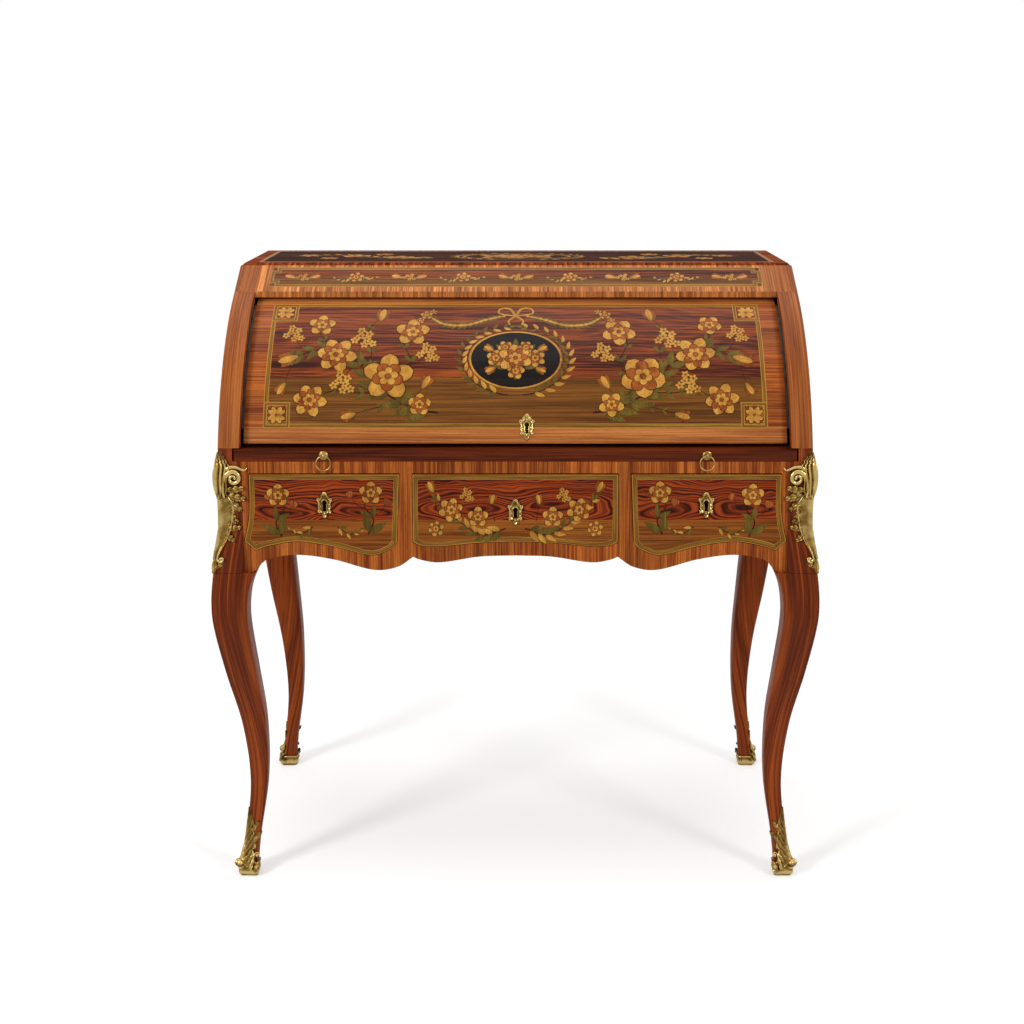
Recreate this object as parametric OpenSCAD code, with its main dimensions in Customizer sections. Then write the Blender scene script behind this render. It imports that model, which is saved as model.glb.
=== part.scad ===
// Cylinder desk on four cabriole legs, with three frieze drawers and a pull-out writing slide.
// X runs across the front, Y runs to the back, Z is up. The origin is on the floor at the middle.

/* [Case] */
// Width over the case sides
case_w = 980; // [900:5:1100]
// Depth from the front face to the back face
case_d = 520; // [500:5:560]
// Height of the top surface above the floor
total_h = 1040; // [1036:1:1060]
// Height of the lower case, where the upper part stands on it
lower_h = 758; // [756:1:764]
// Side of each square corner post
post_w = 38; // [34:1:42]
// Thickness of the aprons and rails
rail_t = 20; // [16:1:24]
// Width of the slim cheek that flanks the slide at each front post
cheek_w = 23; // [20:1:24]
// Thickness of the board between the drawers and the slide
dust_t = 12; // [8:1:14]

/* [Legs] */
// Distance of the joint between leg and post below the front apron's middle
joint_drop = 28; // [24:1:32]
// Height over which the knee runs out into the post
flare_rise = 77; // [60:1:90]
// How far the knee stands out past the case
knee_out = 16; // [8:1:20]
// Distance of the knee below the joint
knee_drop = 48; // [36:1:60]
// How far the outer face stands in from the case at the calf
calf_in = 1; // [-4:1:8]
// Height of the calf station
calf_h = 373; // [350:5:400]
// How far the outer face stands in from the case at the ankle
ankle_in = 32; // [22:1:38]
// Height of the ankle
ankle_h = 165; // [150:5:190]
// How far the wooden foot stands in from the case
foot_in = 20; // [14:1:26]
// Width of the leg at the knee
knee_w = 60; // [54:1:62]
// Width of the leg at the calf
calf_w = 51; // [44:1:54]
// Width of the leg at the ankle
ankle_w = 29; // [25:1:34]
// Width of the wooden foot inside its sabot
foot_w = 21; // [18:1:24]
// Widening of the leg from the knee up to the joint line, under the apron's ends
ear = 10; // [6:1:12]
// Height of the wooden foot above the floor
foot_lift = 4; // [2:0.5:6]

/* [Gilt mounts] */
// Height of the sabot's cup
cup_h = 55; // [48:1:64]
// Height of the tip of the sabot's leaf
leaf_h = 123; // [110:1:140]
// Greatest swell of the sabot beyond the wood
cup_swell = 10; // [6:0.5:13]
// Wall of the sabot on its inner sides
cup_wall = 2.5; // [2:0.25:4]
// Distance of the corner mount's top below the top of the lower case
mount_drop = 6; // [3:1:14]
// Width of the corner mount on each face at its scroll
mount_scroll_w = 46; // [36:1:50]
// Width of the corner mount on each face at its middle
mount_mid_w = 34; // [26:1:40]
// Thickness of the corner mount
mount_t = 8; // [6:0.5:12]

/* [Apron] */
// Height of the drawer rail
rail_h = 19.7; // [16:0.1:22]
// Height of the front apron's wood under the middle of the middle drawer
apron_strip = 24; // [22:1:30]
// How far the apron swells down under the middle drawer's ends
apron_swell = 12; // [6:1:14]
// How far the cusp between two drawers lies below the apron's middle
apron_cusp = 2; // [0:1:8]
// How far the apron drops under an outer drawer
apron_drop = 25; // [18:1:26]
// Height of the side and back aprons' arch above the leg joint
arch_rise = 32; // [20:1:40]

/* [Drawers] */
// Half the width of the middle drawer
mid_half = 170; // [160:1:172]
// Width of the divider between two drawers
divider_w = 22; // [18:1:28]
// Width of the apron's strip between an outer drawer and its post
end_strip = 12; // [12:1:20]
// How far an outer drawer's inner side runs in towards its foot
drawer_taper = 5; // [2:1:7]
// How far the outer drawer's lower corner flares past its side
corner_flare = 10; // [4:1:10]
// Height over which the flared corner runs out
corner_rise = 62; // [50:1:70]
// Height of the drawers at their arch
drawer_h = 114; // [110:1:118]
// How far an outer drawer drops below the arch
edge_drop = 23; // [16:1:25]
// How far the middle drawer swells below the arch at its sides
edge_swell = 8; // [4:1:10]
// Thickness of a drawer front
front_t = 20; // [16:1:20]
// Gap round a drawer front
drawer_gap = 1; // [0.5:0.25:1.5]
// Thickness of a drawer's sides
drawer_side = 9; // [7:1:12]
// Thickness of a drawer's bottom
drawer_base = 7; // [5:1:9]
// Height of the drawer boxes' underside above the arch of the fronts
box_rise = 6; // [5:1:12]
// Distance of the drawer boxes' sides below the top edge of the fronts
box_drop = 12; // [10:1:24]
// Space between the drawer boxes and the back apron
box_stop = 90; // [40:5:150]
// Distance of the outer keyholes below the drawers' top edge
outer_key_drop = 52; // [48:1:56]
// Distance of the middle keyhole below the drawers' top edge
middle_key_drop = 64; // [60:1:66]

/* [Writing slide] */
// Distance of the slide's top face below the top of the lower case
slide_sink = 2; // [1:0.5:4]
// Thickness of the slide's front lip
lip_t = 20; // [18:0.5:20]
// Depth of the lip from front to back
lip_d = 34; // [32:1:40]
// Gap between the lip's ends and the cheeks
lip_gap = 3; // [1:0.5:6]
// Thickness of the slide board
slide_t = 16; // [12:1:18]
// Space between the slide board and the back apron
slide_stop = 46; // [20:2:80]
// Thickness of the leather lining
leather_t = 1.2; // [0.8:0.1:2]
// Width of the banding round the leather
leather_edge = 26; // [16:1:40]
// Thickness of each guide beside the slide
guide_t = 7; // [5:0.5:8]
// Width of the slot between a guide and its posts, where the cylinder's arm turns
arm_slot = 4; // [3.5:0.5:6]

/* [Upper part] */
// Distance of the turning axis below the top of the lower case
axis_drop = 95; // [92:0.5:98]
// Thickness of the upper side panels
side_t = 18; // [16:0.5:18]
// Width of the curved stile inside each side panel
stile_w = 17; // [14:0.5:17]
// Depth of the curved stile from its face
stile_d = 15; // [12:0.5:15]
// Thickness of the top board
top_t = 14; // [12:0.5:14]
// Width of the chamfer along the top board's sides
top_chamfer = 6; // [2:0.5:8]
// Thickness of the back panel
back_t = 12; // [10:0.5:13]
// Angle above the level of the axis where the sides' round edge ends
edge_end = 58; // [54:0.5:60]
// Angle of the frieze's lower edge
frieze_angle = 62; // [61:0.5:64]
// Height of the frieze's lower face
frieze_lip = 10; // [8:0.5:11]
// Gap between the frieze rail and the cylinder
frieze_gap = 3; // [2:0.5:4]
// How far the frieze rail reaches behind the top's front arris
frieze_reach = 26; // [16:1:36]
// Angle of the top's front arris
crest_angle = 73.5; // [72:0.5:75]
// Drop of the rounded front arris of the top
crest_drop = 4; // [2:0.5:6]

/* [Cylinder] */
// Gap between the cylinder's outer face and the curved stiles
sweep_gap = 2; // [1:0.5:3]
// Thickness of the cylinder
shell_t = 14; // [10:0.5:15]
// Gap between the cylinder's lower edge and the slide
shell_gap = 2.4; // [1:0.1:4]
// Angle of the cylinder's upper edge above the level of the axis
shell_high = 64.5; // [63:0.25:65]
// Thickness of the iron arms
arm_t = 4; // [3:0.5:4]
// Width of the iron arms
arm_w = 26; // [20:1:32]
// Angle of the arm's bar above the level of the axis
arm_angle = 40; // [34:1:50]
// Angle that the arm's curved plate reaches each way from the bar
arm_reach = 20; // [10:1:22]
// Radius of the pivot pins
pin_r = 5; // [4:0.5:6]
// Radial clearance of the arm on its pin
pin_play = 0.06; // [0.02:0.01:0.1]
// How far a pin is let into the case side
pin_set = 12; // [8:1:16]

/* [Pigeonholes] */
// Gap between the cabinet's sides and the ends of the cylinder
cab_gap = 6; // [5:0.5:14]
// Space between the cabinet and the top board
cab_clear = 68; // [62:1:90]
// Distance of the cabinet's face in front of the turning axis
cab_lead = 117; // [90:1:120]
// Thickness of the cabinet's outer boards
cab_board = 8; // [6:0.5:10]
// Thickness of the cabinet's partitions
cab_part = 6; // [4:0.5:8]
// Height of the lower row of compartments
cab_row = 50; // [40:1:56]
// Space behind the small drawers
small_stop = 52; // [20:2:100]
// Wall of the small drawers
small_wall = 6; // [5:0.5:8]
// Radius of the small drawers' knobs
knob_r = 7; // [5:0.5:9]

/* [Locks and pulls] */
// Width of a lock case
lock_w = 56; // [44:1:64]
// Height of the cylinder's lock case
lock_h = 38; // [32:1:42]
// Height of a drawer's lock case
drawer_lock_h = 80; // [78:1:90]
// Thickness of a lock case
lock_t = 12; // [10:0.5:14]
// Width of a lock bolt
bolt_w = 22; // [16:1:28]
// Thickness of a lock bolt
bolt_t = 5; // [4:0.5:6]
// Height of a drawer's lock bolt
bolt_h = 30; // [24:1:40]
// Travel of the drawer lock bolts
bolt_throw = 7; // [5:0.5:8]
// Travel of the cylinder's lock bolt
cyl_throw = 10; // [8:0.5:11]
// Distance of the cylinder's lock to the right of the middle
cyl_lock_x = 19; // [0:1:30]
// Width of an escutcheon
plate_w = 26; // [22:0.5:30]
// Height of an escutcheon
plate_h = 48; // [42:0.5:52]
// Thickness of an escutcheon
plate_t = 2; // [1.5:0.25:3]
// Radius of a keyhole's round
key_r = 3.6; // [3:0.1:4.5]
// Width of a keyhole's slot
key_slot = 5; // [4.6:0.1:6]
// Radius of a pull's rosette
rosette_r = 7.5; // [6:0.25:10]
// Radius of the ring at the middle of its wire
ring_r = 12; // [10:0.5:14]
// Radius of the ring's wire
wire_r = 1.2; // [1:0.1:1.6]
// Distance of the ring's eye in front of the slide
eye_out = 7; // [6:0.25:8]

/* [Fits] */
// Running gap under a drawer or slide
run_gap = 0.3; // [0.2:0.05:0.5]
// Side gap of a drawer or slide
side_gap = 1; // [0.5:0.25:1.5]
// Gap between a bolt and its guide
bolt_gap = 0.3; // [0.2:0.05:0.5]

/* [Hidden] */

front = -case_d / 2;
half_w = case_w / 2;
post_in = half_w - post_w;
side_in = half_w - rail_t;
panel_in = half_w - side_t;
frame_back = front + rail_t;
back_face = case_d / 2 - back_t;
back_in = case_d / 2 - rail_t;

// Heights, from the top of the lower case down to the joint of the legs.
slide_top = lower_h - slide_sink;
dust_top = slide_top - lip_t - run_gap;
rail_low = dust_top - rail_h;
drawer_top = rail_low - 2 * drawer_gap;
arch_h = drawer_top - drawer_h;
drop_h = arch_h - edge_drop;
swell_h = arch_h - edge_swell;
apron_h = arch_h - apron_strip;
joint_h = apron_h - joint_drop;
flare_h = joint_h + flare_rise;
knee_h = joint_h - knee_drop;
mount_top = lower_h - mount_drop;
outer_key_z = drawer_top - outer_key_drop;
middle_key_z = drawer_top - middle_key_drop;

// Distances from the desk's middle.
outer_from = mid_half + divider_w;
outer_to = post_in - end_strip;
pull_x = (outer_from + outer_to) / 2;
lip_half = half_w - cheek_w - lip_gap;
guide_out = post_in - arm_slot;
slide_half = guide_out - guide_t - side_gap;
shell_half = panel_in - stile_w - arm_t;

// The cylinder's axis, and the angles and radii about it.
axis_h = lower_h - axis_drop;
edge_r = total_h - axis_h;
edge_start = asin(axis_drop / edge_r);
axis_y = front + edge_r * cos(edge_start);
shell_r = edge_r - stile_d - sweep_gap;
shell_in = shell_r - shell_t;
shell_low = asin((slide_top + shell_gap - axis_h) / shell_in);
top_low = total_h - top_t;
crest_z = total_h - crest_drop;
crest_y = axis_y - (crest_z - axis_h) / tan(crest_angle);
tulipwood = [0.62, 0.33, 0.17];
kingwood = [0.40, 0.13, 0.07];
mahogany = [0.33, 0.12, 0.07];
oak = [0.62, 0.47, 0.30];
gilt = [0.83, 0.66, 0.33];
iron = [0.30, 0.29, 0.28];
leather = [0.20, 0.08, 0.05];

// Stations of the leg's outer face and width: height, then distance past the case, or width.
leg_line = [
    [foot_lift, -foot_in], [0.36 * ankle_h, -foot_in - 3], [ankle_h, -ankle_in],
    [(ankle_h + calf_h) / 2, -ankle_in + 9],
    [calf_h, -calf_in], [(calf_h + 2 * knee_h) / 3, knee_out - 2], [knee_h, knee_out],
    [joint_h, knee_out - 4], [flare_h, 0]];
leg_width = [
    [foot_lift, foot_w], [0.6 * ankle_h, foot_w + 4], [ankle_h, ankle_w],
    [0.6 * ankle_h + 0.4 * calf_h, ankle_w + 8],
    [calf_h, calf_w], [knee_h, knee_w], [0.45 * knee_h + 0.55 * joint_h, knee_w + 0.35 * ear],
    [joint_h, knee_w + ear]];
leg_steps = 32;
flare_steps = 8;
leg_pitch = (joint_h - foot_lift) / leg_steps;
// How far the leg's top reaches in past the post, where the aprons' lower edges come down to it.
leg_ledge = knee_w + ear - (knee_out - 4) - post_w;

// A smooth curve through stations [place, value]: the cubic whose slope at a station is the slope
// between its two neighbours.
function station(p, s, i = 0) = (i >= len(p) - 2 || s < p[i + 1][0]) ? i : station(p, s, i + 1);
function slope(p, i) =
    let (a = max(i - 1, 0), b = min(i + 1, len(p) - 1)) (p[b][1] - p[a][1]) / (p[b][0] - p[a][0]);
function curve(p, s) =
    let (i = station(p, s), h = p[i + 1][0] - p[i][0], t = (s - p[i][0]) / h)
    (2 * pow(t, 3) - 3 * pow(t, 2) + 1) * p[i][1] + (pow(t, 3) - 2 * pow(t, 2) + t) * h * slope(p, i)
    + (3 * pow(t, 2) - 2 * pow(t, 3)) * p[i + 1][1] + (pow(t, 3) - pow(t, 2)) * h * slope(p, i + 1);

// Points of one rounded corner, a quarter turn from angle a.
function corner(x, y, r, a) = [for (i = [0:3]) [x + r * cos(a + 30 * i), y + r * sin(a + 30 * i)]];

// A square section with its outer corner at (hi, hi), rounded least at that corner.
function leg_section(lo, hi, z) =
    let (w = hi - lo, s = 0.14 * w, n = 0.26 * w, e = 3)
    [for (p = concat(corner(hi - e, hi - e, e, 0), corner(lo + s, hi - s, s, 90),
        corner(lo + n, lo + n, n, 180), corner(hi - s, lo + s, s, 270))) [p[0], p[1], z]];

// An L-shaped strip of width w and thickness t laid on the two outer faces of a post.
function strip_section(hi, w, t, z) = [
    [hi, hi - w, z], [hi + t, hi - w + t, z], [hi + t, hi, z], [hi + 0.7 * t, hi + 0.7 * t, z],
    [hi, hi + t, z], [hi - w + t, hi + t, z], [hi - w, hi, z], [hi, hi, z]];

// The two convex halves of a strip's end.
strip_ends = [[0, 1, 2, 3, 7], [7, 3, 4, 5, 6]];

// A solid through rings of equal point count, each ring counter-clockwise seen from above. The ends
// are one face each, or the faces that the list of point numbers gives.
module loft(rings, ends = []) {
    n = len(rings[0]);
    m = len(rings);
    caps = len(ends) > 0 ? ends : [[for (i = [0:n - 1]) i]];
    polyhedron(
        points = [for (r = rings) for (p = r) p],
        faces = concat(
            caps,
            [for (c = caps) [for (i = [len(c) - 1:-1:0]) (m - 1) * n + c[i]]],
            [for (k = [0:m - 2]) for (i = [0:n - 1]) [k * n + i, (k + 1) * n + i, (k + 1) * n + (i + 1) % n]],
            [for (k = [0:m - 2]) for (i = [0:n - 1])
                [k * n + i, (k + 1) * n + (i + 1) % n, k * n + (i + 1) % n]]),
        convexity = 6);
}

// Places a piece drawn for the right rear corner at the corner of the given signs.
module at_corner(sx, sy) {
    mirror([sx < 0 ? 1 : 0, 0, 0]) mirror([0, sy < 0 ? 1 : 0, 0])
        translate([half_w, case_d / 2, 0]) children();
}

// Extrudes an outline drawn in X and Z from y0 back to y1.
module along_y(y0, y1) {
    translate([0, y1, 0]) rotate([90, 0, 0]) linear_extrude(y1 - y0) children();
}

// Extrudes an outline drawn in Y and Z from x0 to x1.
module along_x(x0, x1) {
    translate([x0, 0, 0]) rotate([90, 0, 90]) linear_extrude(x1 - x0) children();
}

// A box between two corners.
module block(lo, hi) {
    translate(lo) cube(hi - lo);
}

// Draws a piece and its mirror image across the middle plane.
module both_sides() {
    children();
    mirror([1, 0, 0]) children();
}

module leg_wood() {
    loft([for (k = [0:leg_steps]) let (z = foot_lift + k * leg_pitch, o = curve(leg_line, z))
        leg_section(o - curve(leg_width, z), o, z)]);
}

module leg(sx, sy) {
    cap = sy < 0 ? dust_top : lower_h;
    color(tulipwood) at_corner(sx, sy) {
        leg_wood();
        loft([for (k = [0:flare_steps]) let (z = joint_h + k * (flare_h - joint_h) / flare_steps)
            leg_section(-post_w, curve(leg_line, z), z)]);
        block([-post_w, -post_w, flare_h], [0, 0, cap]);
        if (sy < 0) block([-cheek_w, -post_w, cap], [0, 0, lower_h]);
    }
}

// The sabot: a cup round the foot and a leaf that climbs the outer arris.
cup_line = [[0, 0.55], [0.18, 0.85], [0.47, 1], [0.76, 0.6], [1, 0.4]];
leaf_first = floor((cup_h - foot_lift) / leg_pitch);
leaf_last = floor((leaf_h - foot_lift) / leg_pitch);
module sabot(sx, sy) {
    color(gilt) at_corner(sx, sy) {
        difference() {
            loft([for (k = [0, 0.18, 0.33, 0.47, 0.62, 0.76, 1])
                let (z = k * cup_h, s = max(z, foot_lift), o = curve(leg_line, s), w = curve(leg_width, s))
                leg_section(o - w - cup_wall, o + cup_swell * curve(cup_line, k), z)]);
            leg_wood();
        }
        loft([for (k = [leaf_first:leaf_last])
            let (z = foot_lift + k * leg_pitch, o = curve(leg_line, z),
                u = (k - leaf_first) / (leaf_last - leaf_first))
            strip_section(o, 19 - 12 * u, 5 - 2.5 * u, z)], strip_ends);
    }
}

// The corner mount: a scroll at the top, a waisted middle and a tip at the joint line.
function on_mount(k) = joint_h + k * (mount_top - joint_h);
mount_width = [
    [joint_h, 6], [on_mount(0.09), 19], [on_mount(0.3), mount_mid_w - 4], [on_mount(0.54), mount_mid_w],
    [dust_top - 12, mount_scroll_w], [dust_top - 1, cheek_w - 1], [mount_top, 14]];
mount_depth = [
    [joint_h, 3], [on_mount(0.15), 5], [on_mount(0.39), 0.7 * mount_t], [on_mount(0.85), mount_t],
    [mount_top, 4]];
mount_rings = concat(
    [for (k = [0:flare_steps]) joint_h + k * (flare_h - joint_h) / flare_steps],
    [for (k = [1:8]) flare_h + k * (dust_top - 9 - flare_h) / 8],
    [dust_top - 5, dust_top - 1, (dust_top + mount_top) / 2, mount_top]);
module corner_mount(sx, sy) {
    color(gilt) at_corner(sx, sy)
        loft([for (z = mount_rings)
            strip_section(z < flare_h ? curve(leg_line, z) : 0, curve(mount_width, z),
                curve(mount_depth, z), z)], strip_ends);
}

// Lower edge of the front apron against the distance from the middle.
apron_line = [
    [0, apron_h], [0.35 * mid_half, apron_h - 2], [0.75 * mid_half, apron_h - apron_swell],
    [0.94 * mid_half, apron_h - apron_cusp - 5], [mid_half, apron_h - apron_cusp]];
function across(k) = outer_from + k * (outer_to - outer_from);
apron_outer = [
    [mid_half, apron_h - apron_cusp], [across(0.01), apron_h - apron_drop + 6],
    [across(0.17), apron_h - apron_drop], [across(0.445), apron_h - 7],
    [across(0.695), apron_h + 1], [across(0.895), apron_h - 7],
    [post_in - leg_ledge - 5, joint_h + 9], [post_in - leg_ledge, joint_h]];
function apron_edge(x) =
    x < mid_half ? curve(apron_line, x) : curve(apron_outer, min(x, post_in - leg_ledge));
module apron_front_outline() {
    steps = 122;
    polygon(concat(
        [for (i = [0:steps]) let (x = -post_in + i * 2 * post_in / steps) [x, apron_edge(abs(x))]],
        [[post_in, rail_low], [-post_in, rail_low]]));
}

// Outlines of the drawer fronts, grown by g for their openings.
outer_edge = [
    [outer_from + drawer_taper, arch_h - 2], [across(0.056), drop_h + 11], [across(0.19), drop_h],
    [across(0.435), arch_h - 9], [across(0.69), arch_h], [across(0.887), arch_h - 8],
    [across(0.97), arch_h - 15]];
middle_edge = [
    [0, arch_h], [0.35 * mid_half, arch_h - 2], [0.73 * mid_half, swell_h], [0.92 * mid_half, swell_h + 1],
    [mid_half, arch_h - 1]];
tip_h = arch_h + 1;
flare_line = [
    [tip_h, corner_flare], [tip_h + corner_rise / 2, 0.3 * corner_flare], [tip_h + corner_rise, 0],
    [drawer_top, 0]];
module outer_outline(g) {
    steps = 40;
    from = outer_from + drawer_taper;
    to = across(0.97);
    polygon(concat(
        [[outer_from - g, drawer_top + g], [from - g, arch_h]],
        [for (i = [0:steps]) let (x = from + i * (to - from) / steps) [x, curve(outer_edge, x) - g]],
        [for (i = [0:8]) let (z = tip_h + i * corner_rise / 8) [outer_to + g + curve(flare_line, z), z]],
        [[outer_to + g, drawer_top + g]]));
}
module middle_outline(g) {
    steps = 48;
    polygon(concat(
        [for (i = [0:steps]) let (x = -mid_half - g + i * 2 * (mid_half + g) / steps)
            [x, curve(middle_edge, min(abs(x), mid_half)) - g]],
        [[mid_half + g, drawer_top + g], [-mid_half - g, drawer_top + g]]));
}
module drawer_openings() {
    middle_outline(drawer_gap);
    outer_outline(drawer_gap);
    mirror([1, 0]) outer_outline(drawer_gap);
}
module divider_outline() {
    x0 = mid_half + drawer_gap;
    x1 = outer_from - drawer_gap;
    polygon([
        [x0, arch_h], [x1 + drawer_taper, arch_h], [x1, drawer_top + drawer_gap],
        [x1, rail_low], [x0, rail_low]]);
}

module apron_front() {
    color(tulipwood) along_y(front, frame_back) difference() {
        apron_front_outline();
        drawer_openings();
        translate([0, drawer_top]) square([2 * outer_to, 4 * drawer_gap], center = true);
        divider_outline();
        mirror([1, 0]) divider_outline();
    }
}

module drawer_dividers() {
    color(tulipwood) both_sides() along_y(front, frame_back) difference() {
        divider_outline();
        drawer_openings();
    }
}

module mortise(x) {
    y1 = front + front_t - bolt_gap;
    block([x - bolt_w / 2 - bolt_gap, y1 - bolt_t - bolt_gap, rail_low - 1],
        [x + bolt_w / 2 + bolt_gap, y1 + bolt_gap, drawer_top + bolt_throw + 1]);
}

module drawer_rail() {
    color(tulipwood) difference() {
        block([-post_in, front, rail_low], [post_in, frame_back, dust_top]);
        for (x = [-pull_x, 0, pull_x]) mortise(x);
    }
}

// Lower edge of the side and back aprons: a flat arch that drops to the leg at each end.
arch_fall = 0.28;
function arch_edge(s, reach) =
    let (u = min(1, max(0, abs(s) / (reach - leg_ledge) - 1 + arch_fall) / arch_fall))
    joint_h + arch_rise * (0.5 + 0.5 * cos(180 * u));
module arch_board(reach, top) {
    steps = 60;
    polygon(concat(
        [for (i = [0:steps]) let (s = -reach + i * 2 * reach / steps) [s, arch_edge(s, reach)]],
        [[reach, top], [-reach, top]]));
}

module apron_back() {
    color(tulipwood) along_y(back_in, case_d / 2) arch_board(post_in, lower_h);
}

// The bore for a pin in the right side of the case.
module pin_bore() {
    translate([side_in - 1, axis_y, axis_h]) rotate([0, 90, 0]) cylinder(r = pin_r, h = pin_set + 1, $fn = 48);
}

module side_rail(sx) {
    color(tulipwood) mirror([sx < 0 ? 1 : 0, 0, 0]) difference() {
        along_x(side_in, half_w) arch_board(case_d / 2 - post_w, lower_h);
        pin_bore();
    }
}

module dust_board() {
    color(oak)
        block([-guide_out, frame_back, dust_top - dust_t], [guide_out, back_in, dust_top]);
}

module slide_guides() {
    color(oak) both_sides()
        block([guide_out - guide_t, front + lip_d + 10, dust_top], [guide_out, back_in, lower_h]);
}

// The drawer boxes, and the runners under them with a guide between two drawers.
box_low = arch_h + box_rise;
box_top = drawer_top - box_drop;
box_len = case_d - front_t - rail_t - box_stop;
runner_top = box_low - run_gap;
runner_low = runner_top - 20;
ledge = 16;
guide_0 = mid_half + side_gap;
guide_1 = outer_from + drawer_taper;
guide_2 = outer_to - 1;
fence_h = 30;
module drawer_runners() {
    color(oak) both_sides() {
        along_y(frame_back, back_in) polygon([
            [guide_0 - ledge, runner_low], [guide_1 + ledge, runner_low], [guide_1 + ledge, runner_top],
            [guide_1, runner_top], [guide_1, box_top - 20], [guide_0, box_top - 20], [guide_0, runner_top],
            [guide_0 - ledge, runner_top]]);
        along_y(frame_back, back_in) polygon([
            [guide_2 - ledge, runner_low], [post_in, runner_low], [post_in, box_low + fence_h],
            [guide_2, box_low + fence_h], [guide_2, runner_top], [guide_2 - ledge, runner_top]]);
    }
}

// A keyhole: a round with a slot below it, centred on the plate.
module keyhole() {
    translate([0, 4]) circle(r = key_r, $fn = 32);
    translate([-key_slot / 2, -10]) square([key_slot, 14]);
}
module keyhole_cut(x, z, y1) {
    along_y(front - plate_t - 1, y1) translate([x, z]) keyhole();
}

module drawer_front(x, key_z) {
    color(kingwood) difference() {
        along_y(front, front + front_t) children();
        keyhole_cut(x, key_z, front + front_t + 1);
        block([x - bolt_w / 2 - bolt_gap, front + front_t - bolt_t - bolt_gap, drawer_top - bolt_h - bolt_gap],
            [x + bolt_w / 2 + bolt_gap, front + front_t + 1, drawer_top + 1]);
    }
}

// A drawer box from x0 to x1: bottom, two sides and a back, with its mouth at the drawer front.
module drawer_box(x0, x1) {
    y0 = front + front_t;
    color(oak) difference() {
        block([x0, y0, box_low], [x1, y0 + box_len, box_top]);
        block([x0 + drawer_side, y0 - 1, box_low + drawer_base],
            [x1 - drawer_side, y0 + box_len - drawer_side, box_top + 1]);
    }
}
box_outer_from = guide_1 + side_gap;
box_outer_to = guide_2 - side_gap;

// The lock case on the back of a drawer front, open to the key.
module drawer_lock(x, key_z) {
    y0 = front + front_t;
    color(iron) difference() {
        block([x - lock_w / 2, y0, drawer_top - drawer_lock_h], [x + lock_w / 2, y0 + lock_t, drawer_top]);
        along_y(y0 - 1, y0 + lock_t - 2) translate([x, key_z]) keyhole();
    }
}

// The bolt slides up behind the drawer front's top edge, in a slot between the front and the lock case.
module drawer_bolt(x) {
    y1 = front + front_t - bolt_gap;
    color(iron) block([x - bolt_w / 2, y1 - bolt_t, drawer_top - bolt_h], [x + bolt_w / 2, y1, drawer_top]);
}

// The escutcheon: an oval body with a crest, two ears and a drop, pierced by its keyhole.
module plate_outline() {
    difference() {
        union() {
            scale([1, 1.25]) circle(d = 0.62 * plate_w, $fn = 40);
            translate([0, plate_h / 2 - 6]) circle(r = 6, $fn = 32);
            translate([0, plate_h / 4 - 1]) square([0.36 * plate_w, plate_h / 4], center = true);
            translate([0, -plate_h / 2 + 4.5]) circle(r = 4.5, $fn = 32);
            translate([0, -plate_h / 4]) square([0.3 * plate_w, plate_h / 4 + 4], center = true);
            for (s = [-1, 1]) {
                translate([s * (plate_w / 2 - 5), 8]) circle(r = 5, $fn = 32);
                translate([s * (plate_w / 2 - 4.5), -8]) circle(r = 4.5, $fn = 32);
                translate([s * plate_w / 5, 8]) square([plate_w / 4, 6], center = true);
                translate([s * plate_w / 5, -8]) square([plate_w / 4, 6], center = true);
            }
        }
        keyhole();
    }
}
module escutcheon(x, z) {
    color(gilt) along_y(front - plate_t, front) translate([x, z]) plate_outline();
}

// Lengths along the cylinder are turned into angles about its axis by lying on a tangent plane:
// at_shell(a) carries a piece drawn about the origin, facing -Y, to the angle a on radius r.
module at_shell(a, r) {
    translate([0, axis_y, axis_h]) rotate([-a, 0, 0]) translate([0, -r, 0]) children();
}
// Angle of the middle of the cylinder's escutcheon, and of its lock case above the lower edge.
plate_angle = shell_low + (plate_h / 2 + 3) * 180 / (PI * shell_r);
lock_angle = shell_low + (lock_h / 2 + 1) * 180 / (PI * shell_in);
lock_seat = shell_r - shell_t / 2 - 2;

// The part of a tube's section between two angles above the level of its axis.
module arc_outline(r0, r1, a0, a1) {
    difference() {
        intersection() {
            circle(r = r1, $fn = 180);
            polygon(concat([[0, 0]], [for (a = [a0, (a0 + a1) / 2, a1]) 1.3 * r1 * [-cos(a), sin(a)]]));
        }
        circle(r = r0, $fn = 180);
    }
}

module cylinder_shell() {
    color(kingwood) difference() {
        along_x(-shell_half, shell_half) translate([axis_y, axis_h])
            arc_outline(shell_in, shell_r, shell_low, shell_high);
        translate([cyl_lock_x, 0, 0]) at_shell(lock_angle, lock_seat)
            block([-lock_w / 2, 0, -lock_h / 2 - 20], [lock_w / 2, 30, lock_h / 2]);
        translate([cyl_lock_x, 0, 0]) at_shell(plate_angle, shell_r)
            along_y(-plate_t - 1, shell_t + 4) keyhole();
    }
}

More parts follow.
